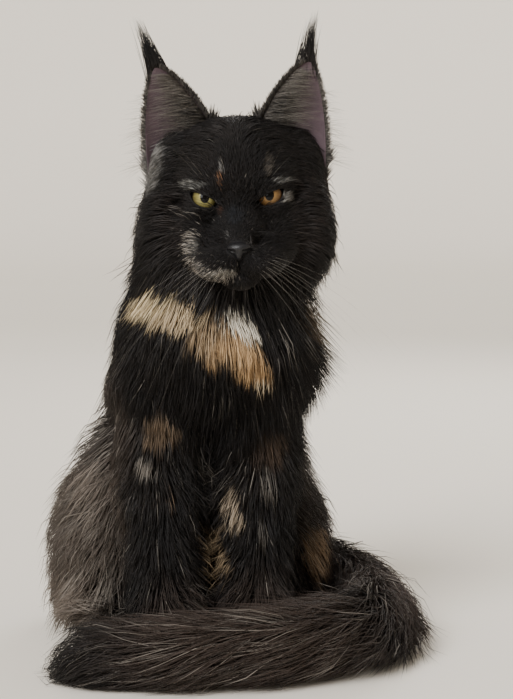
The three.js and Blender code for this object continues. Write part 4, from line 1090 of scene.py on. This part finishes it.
def tufts_on(corners, faces, uv, weights, coat, material):
    """Grows one piece of coat on the skin's net."""
    name, parts, wanted, steps, width, gather, pale_share, slot = coat
    here = weights[[PARTS.index(part) for part in parts]].sum(0) ** 2
    roots, face, order, within = surface_samples(corners, faces, here, int(wanted * TUFT_SHARE))
    patches = (uv[face[:, None], order] * within[..., None]).sum(1)
    on_face = name in ("coat_face", "coat_head")
    if on_face:
        clear = clear_of_features(roots)
        roots, patches = roots[clear], patches[clear]
    count = len(roots)
    own = part_weights(roots)
    form, lengths, depths, flares = coat_shape(name, roots, own)
    layer = 0.22 + 0.72 * np.sqrt(random.random(count))
    stray = random.random(count) < (0.006 if name == "coat_face" else 0.03)
    layer = np.where(stray, 1.0 + (0.5 if name == "coat_head" else 0.12) * random.random(count), layer)
    lengths = lengths * random.uniform(0.75, 1.12, count)
    turns = random.normal(0, 0.16, count) + WAVES.get(name, 0.0) * waves_at(roots)
    fringe = np.zeros(count)
    if name == "coat_face":
        # The muzzle's pale fringe stands out a little, with pale hairs among the dark.
        fringe = np.exp(-((line_distance(in_head_axes(roots), [MUZZLE_FRINGE]) / 4.0) ** 2))
        lengths = lengths + fringe * random.uniform(0, 6, count)
        depths = depths + 1.6 * fringe
    paths = laid(form, roots, own, lengths, depths * layer, flares * layer, turns, steps)
    # Tufts gather into locks: each leans towards the lock's own tuft, most at its tip.
    guides = random.choice(count, size=max(count // LOCK_TUFTS, 1), replace=False)
    tree = KDTree(len(guides))
    for n, guide in enumerate(guides):
        tree.insert(roots[guide], n)
    tree.balance()
    owner = guides[[tree.find(root)[1] for root in roots]]
    pull = gather * random.uniform(0.6, 1.2, count) * np.where(stray, 0.15, 1)
    share = np.linspace(0, 1, steps + 1) ** 1.4
    lean = paths[owner] - paths
    far = np.linalg.norm(lean[:, -1], axis=1)
    pull *= np.clip(LEAN_REACH / np.maximum(far, 1e-6), 0, 1)
    paths = paths + lean * (pull[:, None] * share)[..., None]
    paths[:, :, 0] = np.minimum(paths[:, :, 0], HAIR_REACH)
    paths[:, :, 1] -= 0.6 * np.maximum(paths[:, :, 1] - HAIR_BACK, 0)
    paths[:, :, 2] = np.maximum(paths[:, :, 2], 0.8)
    outs = gradient(skin_form, roots)
    outs = unit(outs + random.normal(0, 0.45, outs.shape))
    paths[:, 0] -= outs * 0.6
    shades = np.clip(0.5 + random.normal(0, 0.1, count) + 0.16 * random.normal(size=count)[owner], 0, 1)
    # Paler tufts are partly single and partly whole locks.
    single, whole = random.random(count), random.random(count)[owner]
    paler = (single < 0.5 * pale_share) | (whole < (0.0 if on_face else 0.6) * pale_share)
    pales = np.where(paler, random.uniform(0.08, 0.34, count), 0)
    pales = np.where(random.random(count) < 0.42 * fringe, random.uniform(0.4, 0.95, count), pales)
    widths = width * random.uniform(0.7, 1.3, count)
    return new_piece(tuft_mesh(name, paths, widths, outs, patches, shades, pales, material), slot)


def free_paths(roots, directions, lengths, sag, steps):
    """Paths of tufts that stand free: straight out at first, then bending by their sag."""
    share = np.linspace(0, 1, steps + 1)
    straight = directions[:, None] * (lengths[:, None] * share)[..., None]
    return roots[:, None] + straight + sag[:, None] * (share**2)[None, :, None]


# Where the tufts at the ears' tips end, in the head's own axes.
EAR_TUFT_END = {-1: (-71.0, 0.0, 136.0), 1: (63.0, 0.0, 135.0)}


def ear_coat(s, ear_uv, material):
    """An ear's hair: short on its back, long across its cup, fringed at its edges and tufted at its tip."""
    _, half, rise, across, facing = ear_frame(s)
    across, facing = HEAD_POSE @ across, HEAD_POSE @ facing
    chord, rise = unit(HEAD_POSE @ half) * s, unit(HEAD_POSE @ rise)
    sets = []

    def patch_of(u, v):
        column = np.clip(((u + 1) / 2 * EAR_COLUMNS).astype(int), 0, EAR_COLUMNS - 1)
        row = np.clip((v * EAR_ROWS).astype(int), 0, EAR_ROWS - 1) + EAR_SUNK_ROWS
        return ear_uv[row * 2 * (EAR_COLUMNS + 1) + column].mean(1)

    def add_set(count, u, v, out, direction, length, sag, width, steps, pale, tapered=False):
        count = int(count * TUFT_SHARE)
        u, v = random.uniform(*u, count), random.uniform(*v, count)
        roots = ear_place(s, u, v, out)
        way = unit(direction(u) + random.normal(0, 0.13, (count, 3)))
        shorter = ear_share(v) if tapered else np.clip(1.15 - 0.5 * v, 0.3, 1.2)
        lengths = random.uniform(*length, count) * shorter
        sags = np.array([0, 0, -sag]) * (lengths / 20)[:, None] * random.uniform(0.4, 1.2, count)[:, None]
        paths = free_paths(roots, way, lengths, sags, steps)
        if steps == 2:
            # Every path has four stations, so that all sets make one mesh.
            paths = np.concatenate([paths[:, :2], (paths[:, 1:2] + paths[:, 2:]) / 2, paths[:, 2:]], 1)
        pales = random.uniform(*pale, count)
        sets.append((paths, width * random.uniform(0.7, 1.2, count), patch_of(u, v), pales))

    def edge(at, reach):
        """The stretch of u from an edge of the ear a little way inwards."""
        return tuple(sorted((at, at * reach)))

    back_way = lambda u: rise - facing * 0.18 + across * (0.25 * u)[:, None]
    add_set(1900, (-1, 1), (-0.05, 0.97), 1.0, back_way, (4, 7), 0.5, 0.6, 2, (0, 0.1))
    # The hairs that cross the cup start at its inner edge and reach outwards and up.
    cross_way = lambda u: chord * 0.9 + rise * 0.5 + facing * 0.16
    inner = tuple(sorted((-s * 0.98, -s * 0.62)))
    add_set(480, inner, (0.02, 0.85), -1.0, cross_way, (26, 58), 2.0, 0.3, 3, (0.1, 0.5), True)
    add_set(500, inner, (-0.02, 0.45), -1.0, cross_way, (14, 28), 1.0, 0.7, 3, (0.0, 0.25), True)
    # Short dark hair edges the cup, with longer fine hairs past its outer edge.
    fringe_way = lambda u: rise * 0.8 + across * np.sign(u)[:, None] * 0.6 + facing * 0.2
    for end in (-1, 1):
        add_set(420, edge(end, 0.93), (0.0, 0.98), 0.0, fringe_way, (4, 8), 0, 0.7, 3, (0, 0.15))
    out_way = lambda u: rise * 0.35 + chord * 0.9 + facing * 0.1
    add_set(90, edge(s, 0.94), (0.05, 0.8), 0.0, out_way, (12, 26), 1.5, 0.28, 3, (0.3, 0.7))
    # Hair round the base hides where the ear leaves the head.
    base_way = lambda u: rise * 0.8 - facing * 0.05 + across * (0.35 * u)[:, None]
    add_set(700, (-1, 1), (-0.32, 0.06), 1.0, base_way, (10, 17), 1.0, 0.9, 3, (0, 0.15))
    # The tuft at the tip: long hairs that gather to a point.
    count = int(260 * TUFT_SHARE)
    u, v = random.uniform(-1, 1, count), random.uniform(0.8, 1.0, count)
    roots = ear_place(s, u, v, random.uniform(-1, 1, count))
    end = from_head(*EAR_TUFT_END[s]) + random.normal(0, 2.5, (count, 3))
    reach = (end - roots) * random.uniform(0.3, 1.0, count)[:, None]
    share = np.linspace(0, 1, 4)[None, :, None]
    bow = across * s * 3.0 * (share * (1 - share))
    paths = roots[:, None] + reach[:, None] * share - bow
    sets.append((paths, np.full(count, 0.45), patch_of(u, v), np.zeros(count)))
    paths, widths, patches, pales = (np.concatenate(part) for part in zip(*sets))
    outs = np.cross(paths[:, 1] - paths[:, 0], np.cross(facing, rise))
    outs = unit(outs + random.normal(0, 0.4, outs.shape))
    shades = random.uniform(0.3, 0.7, len(paths))
    name = "coat_ear_" + ("left" if s > 0 else "right")
    return new_piece(tuft_mesh(name, paths, widths, outs, patches, shades, pales, material), "ear_fur")


# Eyes: each a ball that looks out of the face, with the iris and pupil drawn round its axis of sight.
PUPIL = (0.34, 0.44)


def eyeball(side, s, material):
    rows, columns = 48, 64
    angle = math.pi * np.arange(1, rows)[:, None] / rows
    turn = 2 * math.pi * np.arange(columns)[None] / columns
    ring = [np.sin(angle) * np.cos(turn), -np.cos(angle), np.sin(angle) * np.sin(turn)]
    rings = np.stack(np.broadcast_arrays(*ring), axis=2).reshape(-1, 3)
    sphere = np.concatenate([[(0.0, -1.0, 0.0)], rings, [(0.0, 1.0, 0.0)]])
    # The clear front bulges a little.
    bulge = 1 + 0.035 * ramp(-sphere[:, 1], 0.62, 0.38)
    local = sphere * bulge[:, None] * EYE_RADIUS
    aim = HEAD_POSE @ turn_about("X", math.radians(-5)) @ turn_about("Z", math.radians(-1.5 * s))
    faces = (ring_faces(rows - 1, columns)[:, [0, 3, 2, 1]] + 1).tolist()
    end = len(sphere) - 1
    for c in range(columns):
        d = (c + 1) % columns
        faces += [(0, 1 + c, 1 + d), (end, end - columns + d, end - columns + c)]
    corners = (eye_at(s) + local @ aim.T) * MM
    mesh = mixed_mesh("eye_ball_" + side, corners.tolist(), faces, material)
    add_attribute(mesh, "sight", "FLOAT_VECTOR", "POINT", local / 10)
    piece = new_piece(mesh, "eye")
    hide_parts("eye_" + side)
    return piece


def nose_mesh(material):
    """The nose leather with its nostrils and the groove below them."""
    lines = [grid_line(c - 15, c + 15, 0.6) for c in from_head(0, -63, -38)]
    grid = np.stack(np.meshgrid(*lines, indexing="ij"), axis=-1).reshape(-1, 3)
    value = nose_distance(grid)
    q = in_head_axes(grid)
    for s in SIDES.values():
        hole = Ball("bare", (s * 4.7, -70.5, -38.2), (2.5, 4.0, 1.7)).distance(*q.T)
        slit = Ball("bare", (s * 7.3, -67.5, -37.4), (2.6, 4.0, 0.9)).distance(*q.T)
        value = -smooth_least(-value, smooth_least(hole, slit, 1.0), 0.7)
    groove = Limb("bare", (0, -70.2, -38), (0, -69.2, -46), 0.7, 0.8).distance(*q.T)
    value = -smooth_least(-value, groove, 0.7)
    corners, faces = surface_net(value.reshape([len(line) for line in lines]), *lines)
    return new_mesh("nose_leather", corners, faces, material)


def bristle_tree(material):
    """Geometry Nodes: turns polylines into round bristles that taper to a point."""
    tree = bpy.data.node_groups.new("bristles", "GeometryNodeTree")
    tree.interface.new_socket("Lines", in_out="INPUT", socket_type="NodeSocketGeometry")
    thickness = tree.interface.new_socket("Root thickness", in_out="INPUT", socket_type="NodeSocketFloat")
    sides = tree.interface.new_socket("Sides", in_out="INPUT", socket_type="NodeSocketInt")
    tree.interface.new_socket("Bristles", in_out="OUTPUT", socket_type="NodeSocketGeometry")
    given = add_node(tree, "NodeGroupInput").outputs
    curve = add_node(tree, "GeometryNodeMeshToCurve", {"Mesh": given["Lines"]}).outputs["Curve"]
    along = add_node(tree, "GeometryNodeSplineParameter").outputs["Factor"]
    size = {"Resolution": given["Sides"], "Radius": given["Root thickness"]}
    outline = add_node(tree, "GeometryNodeCurvePrimitiveCircle", size).outputs["Curve"]
    taper = ranged(tree, along, 0.0, 1.0, 1.0, 0.08)
    sweep = {"Curve": curve, "Profile Curve": outline, "Scale": taper, "Fill Caps": True}
    swept = add_node(tree, "GeometryNodeCurveToMesh", sweep).outputs["Mesh"]
    real = add_node(tree, "GeometryNodeRealizeInstances", {"Geometry": swept}).outputs["Geometry"]
    smooth = add_node(tree, "GeometryNodeSetShadeSmooth", {"Geometry": real}).outputs["Geometry"]
    painted = add_node(tree, "GeometryNodeSetMaterial", {"Geometry": smooth, "Material": material})
    add_node(tree, "NodeGroupOutput", {"Bristles": painted.outputs["Geometry"]})
    return tree, thickness.identifier, sides.identifier


# The whiskers of each row on a pad from the top, and the hairs above each eye. Thickness is in metres.
WHISKER_ROWS = (2, 3, 3, 2)
BROW_HAIRS = 2
WHISKER_STATIONS = 14
WHISKER_THICKNESS = 0.00008
WHISKER_SIDES = 5


def whisker_lines():
    """Polylines of the whiskers: rows on each pad, and a few above each eye."""
    starts = []
    for s in SIDES.values():
        for row, count in enumerate(WHISKER_ROWS):
            for n in range(count):
                x, z = 11 + 4.2 * n + row, -41 - 4.2 * row + 0.6 * n
                length = random.uniform(80, 125) * (1 - 0.08 * row)
                way = (s * (1.0 + 0.1 * n), -0.22 + 0.12 * n, -0.3 - 0.25 * row)
                starts.append((s * x, z, way, length, random.uniform(-0.5, -0.2)))
        for n in range(BROW_HAIRS):
            way = (s * (0.45 + 0.2 * n), -0.45, 0.8)
            starts.append((s * (22 + 4 * n), 13 + 1.5 * n, way, random.uniform(30, 46), -0.1))
    ahead = HEAD_POSE @ np.array([0, 1, 0])
    share = np.linspace(0, 1, WHISKER_STATIONS)[:, None]
    corners, edges = [], []
    for x, z, way, length, sag in starts:
        root = np.array([from_head(x, -100, z)])
        for _ in range(50):
            root = root + ahead * np.clip(skin_form.distance(*root.T), -2, 6)[:, None]
        way = unit(HEAD_POSE @ (np.array(way) + random.normal(0, 0.06, 3)))
        line = root - way * 1.5 + way * length * share + np.array([0, 0.1, sag]) * length * share**2
        edges += [(len(corners) + k, len(corners) + k + 1) for k in range(WHISKER_STATIONS - 1)]
        corners += (line * MM).tolist()
    mesh = bpy.data.meshes.new("whisker lines")
    mesh.from_pydata(corners, edges, [])
    return mesh


def whiskers(material):
    host = put("whiskers", whisker_lines())
    tree, thickness, sides = bristle_tree(material)
    grown = host.modifiers.new("bristles", "NODES")
    grown.node_group = tree
    grown[thickness] = WHISKER_THICKNESS
    grown[sides] = WHISKER_SIDES
    bpy.context.view_layer.update()
    shown = host.evaluated_get(bpy.context.evaluated_depsgraph_get())
    mesh = bpy.data.meshes.new_from_object(shown)
    mesh.name = "whiskers"
    bpy.data.objects.remove(host)
    bpy.data.node_groups.remove(tree)
    return new_piece(mesh, "ear_fur")


# Finishes.
def skin_material(markings):
    """Cat skin under its coat: short dense down, dull and soft; pink-grey and bare inside the ears."""
    material, tree, shader = new_material("downy skin", {"Roughness": 0.8, "Specular IOR Level": 0.2})
    place = object_place(tree)
    colour = add_node(tree, "ShaderNodeGroup", {"Place": place}, node_tree=markings).outputs["Colour"]
    dark = mixed(tree, 0.45, colour, "#08080a")
    leather = mixed(tree, noise(tree, place, 90.0, 3.0), "#362c30", "#5e4f54")
    tree.links.new(mixed(tree, attribute(tree, "cup"), dark, leather), shader.inputs["Base Color"])
    # Down hair shows as fine grain, drawn out along its length.
    stretched = add_node(tree, "ShaderNodeMapping", {"Vector": place, "Scale": (1.0, 1.0, 0.25)})
    bumped(tree, shader, noise(tree, stretched.outputs["Vector"], 1600.0), 0.0004, 0.6)
    return material


def hair_material(markings):
    """Guard hair: keratin with a soft satin gloss, paler and greyer near its root, as in a smoke coat."""
    values = {"Roughness": 0.62, "IOR": 1.55, "Specular IOR Level": 0.22}
    material, tree, shader = new_material("satin guard hair", values)
    place = attribute(tree, "place", "Vector")
    colour = add_node(tree, "ShaderNodeGroup", {"Place": place}, node_tree=markings).outputs["Colour"]
    near_root = ranged(tree, attribute(tree, "along"), 0.0, 0.45, 0.3, 0.0)
    smoky = mixed(tree, near_root, colour, "#4d4845")
    paler = mixed(tree, attribute(tree, "pale"), smoky, "#b3aba0")
    light = ranged(tree, attribute(tree, "shade"), 0.0, 1.0, 0.5, 1.4)
    lit = add_node(tree, "ShaderNodeVectorMath", {0: paler, "Scale": light}, operation="SCALE")
    tree.links.new(lit.outputs["Vector"], shader.inputs["Base Color"])
    return material


def iris_material(name, inner, outer):
    """A wet cat's eye: a dark oval pupil in a streaked iris, under a clear glossy front."""
    gloss = {"Roughness": 0.18, "Specular IOR Level": 0.0}
    cornea = {"Coat Weight": 0.6, "Coat Roughness": 0.02, "Coat IOR": 1.376}
    material, tree, shader = new_material(name, {**gloss, **cornea})
    sight = add_node(tree, "ShaderNodeSeparateXYZ", {"Vector": attribute(tree, "sight", "Vector")}).outputs
    turn = number_math(tree, "ARCTAN2", sight["Z"], sight["X"])
    flat = add_node(tree, "ShaderNodeCombineXYZ", {"X": sight["X"], "Z": sight["Z"]}).outputs["Vector"]
    reach = vector_math(tree, "LENGTH", flat)
    polar = add_node(tree, "ShaderNodeCombineXYZ", {"X": turn, "Y": reach}).outputs["Vector"]
    streaks = noise(tree, vector_math(tree, "MULTIPLY", polar, (9.0, 1.6, 1.0)), 1.6, 4.0)
    across = ranged(tree, reach, 0.32, 0.85, 0.0, 1.9)
    iris = mixed(tree, number_math(tree, "MULTIPLY", across, streaks), inner, outer)
    # The rim of the iris is nearly black.
    rimmed = mixed(tree, ranged(tree, reach, 0.80, 0.92, smooth=True), iris, "#0c0a08")
    width, height = PUPIL
    oval = vector_math(tree, "MULTIPLY", flat, (1 / width, 1.0, 1 / height))
    pupil = ranged(tree, vector_math(tree, "LENGTH", oval), 0.92, 1.08, 1.0, 0.0, smooth=True)
    tree.links.new(mixed(tree, pupil, rimmed, "#020203"), shader.inputs["Base Color"])
    return material


def nose_material():
    """Nose leather: black, finely pebbled and slightly moist."""
    material, tree, shader = new_material("nose leather", {"Roughness": 0.42, "Specular IOR Level": 0.35})
    voronoi = add_node(tree, "ShaderNodeTexVoronoi", {"Vector": object_place(tree), "Scale": 1300.0})
    pebbles = voronoi.outputs["Distance"]
    tree.links.new(mixed(tree, pebbles, "#121115", "#08080a"), shader.inputs["Base Color"])
    bumped(tree, shader, pebbles, 0.0003, 0.5, invert=True)
    return material


def whisker_material():
    """Whiskers: stiff glossy keratin, in places greyer and in places browner."""
    return mottled_material("whisker keratin", 60.0, "#48443f", "#78736b", 0.3)


markings = markings_group()
hair = hair_material(markings)

# Skin, lids and ears are one mesh.
net_corners, net_faces = skin_net()
shells = [(net_corners, net_faces), *map(lid_patch, SIDES.values()), *map(ear_shell, SIDES.values())]
corner_starts = np.cumsum([0] + [len(shell[0]) for shell in shells])
face_starts = np.cumsum([0] + [len(shell[1]) for shell in shells])
skin_corners = np.concatenate([shell[0] for shell in shells])
skin_faces = np.concatenate([shell[1] + start for shell, start in zip(shells, corner_starts)])
skin_mesh = new_mesh("skin", skin_corners, skin_faces, skin_material(markings))
# The ears' shells come last, and only they have a third item, which tells back from cup.
ear_slices = {s: slice(face_starts[n], face_starts[n + 1]) for n, s in enumerate(SIDES.values(), 3)}
in_cup = np.zeros(len(skin_faces))
for ear_slice, shell in zip(ear_slices.values(), shells[3:]):
    in_cup[ear_slice] = ~shell[2]
add_attribute(skin_mesh, "cup", "FLOAT", "FACE", in_cup)
skin = new_piece(skin_mesh, "coat_black")
skin_uv = unwrap(skin)
flesh = [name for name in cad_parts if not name.startswith("eye") and name != "nose"]
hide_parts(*flesh)

face_weights = part_weights(net_corners[net_faces].mean(1))
for coat in COATS:
    tufts_on(net_corners, net_faces, skin_uv[: len(net_faces)], face_weights, coat, hair)
for s, ear_slice in ear_slices.items():
    ear_coat(s, skin_uv[ear_slice], hair)

eyeball("right", -1, iris_material("amber eye", "#8b8450", "#3f381d"))
eyeball("left", 1, iris_material("copper eye", "#7a5e3a", "#3c2917"))
nose_piece = new_piece(nose_mesh(nose_material()), "nose_leather")
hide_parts("nose")
whiskers(whisker_material())

# The stage: a round sweep of matt pale paper, a floor that curves up to a wall all round.
SWEEP_START = 5.0
SWEEP_RADIUS = 3.0
SWEEP_HEIGHT = 3.4
SWEEP_SEGMENTS = 96
SWEEP_STEPS = 24
profile = [(0.6, 0.0), (2.5, 0.0)]
for n in range(SWEEP_STEPS + 1):
    angle = math.pi / 2 * n / SWEEP_STEPS
    profile.append((SWEEP_START + SWEEP_RADIUS * math.sin(angle), SWEEP_RADIUS * (1 - math.cos(angle))))
profile.append((SWEEP_START + SWEEP_RADIUS, SWEEP_HEIGHT))
turns = [2 * math.pi * n / SWEEP_SEGMENTS for n in range(SWEEP_SEGMENTS)]
sweep_corners = [(r * math.cos(turn), r * math.sin(turn), z) for r, z in profile for turn in turns]
sweep_faces = [list(range(SWEEP_SEGMENTS))] + ring_faces(len(profile), SWEEP_SEGMENTS)[:, ::-1].tolist()
paper = mottled_material("pale studio paper", 2.0, "#ddd6ca", "#dfd8cd", 0.8)
floor = put("floor", mixed_mesh("floor", sweep_corners, sweep_faces, paper))

# Plain studio light: a pale surround, a soft sun as from a window, and two panels that face the cat.
world = bpy.data.worlds.new("studio")
world.use_nodes = True
bpy.context.scene.world = world
world.node_tree.nodes["Background"].inputs["Color"].default_value = linear("#ece4d8")
world.node_tree.nodes["Background"].inputs["Strength"].default_value = 0.75


def lamp(name, kind, power, aim, place=(0, 0, 0)):
    """A light that shines along its aim; how wide it is gets set on the light that this returns."""
    light = bpy.data.lights.new(name, kind)
    light.energy = power
    stand = put(name, light)
    stand.location = place
    stand.rotation_euler = aim.to_track_quat("-Z", "Y").to_euler()
    return light


MIDDLE = Vector((0, -0.1, 0.25))
KEY_PLACE = Vector((-1.1, -1.5, 0.9))
BACK_PLACE = Vector((0.9, 1.4, 1.3))
lamp("window light", "SUN", 4.0, Vector((0.68, 0.85, -0.9))).angle = math.radians(28)
lamp("key light", "AREA", 16, MIDDLE - KEY_PLACE, KEY_PLACE).size = 0.9
lamp("back light", "AREA", 18, MIDDLE - BACK_PLACE, BACK_PLACE).size = 1.0
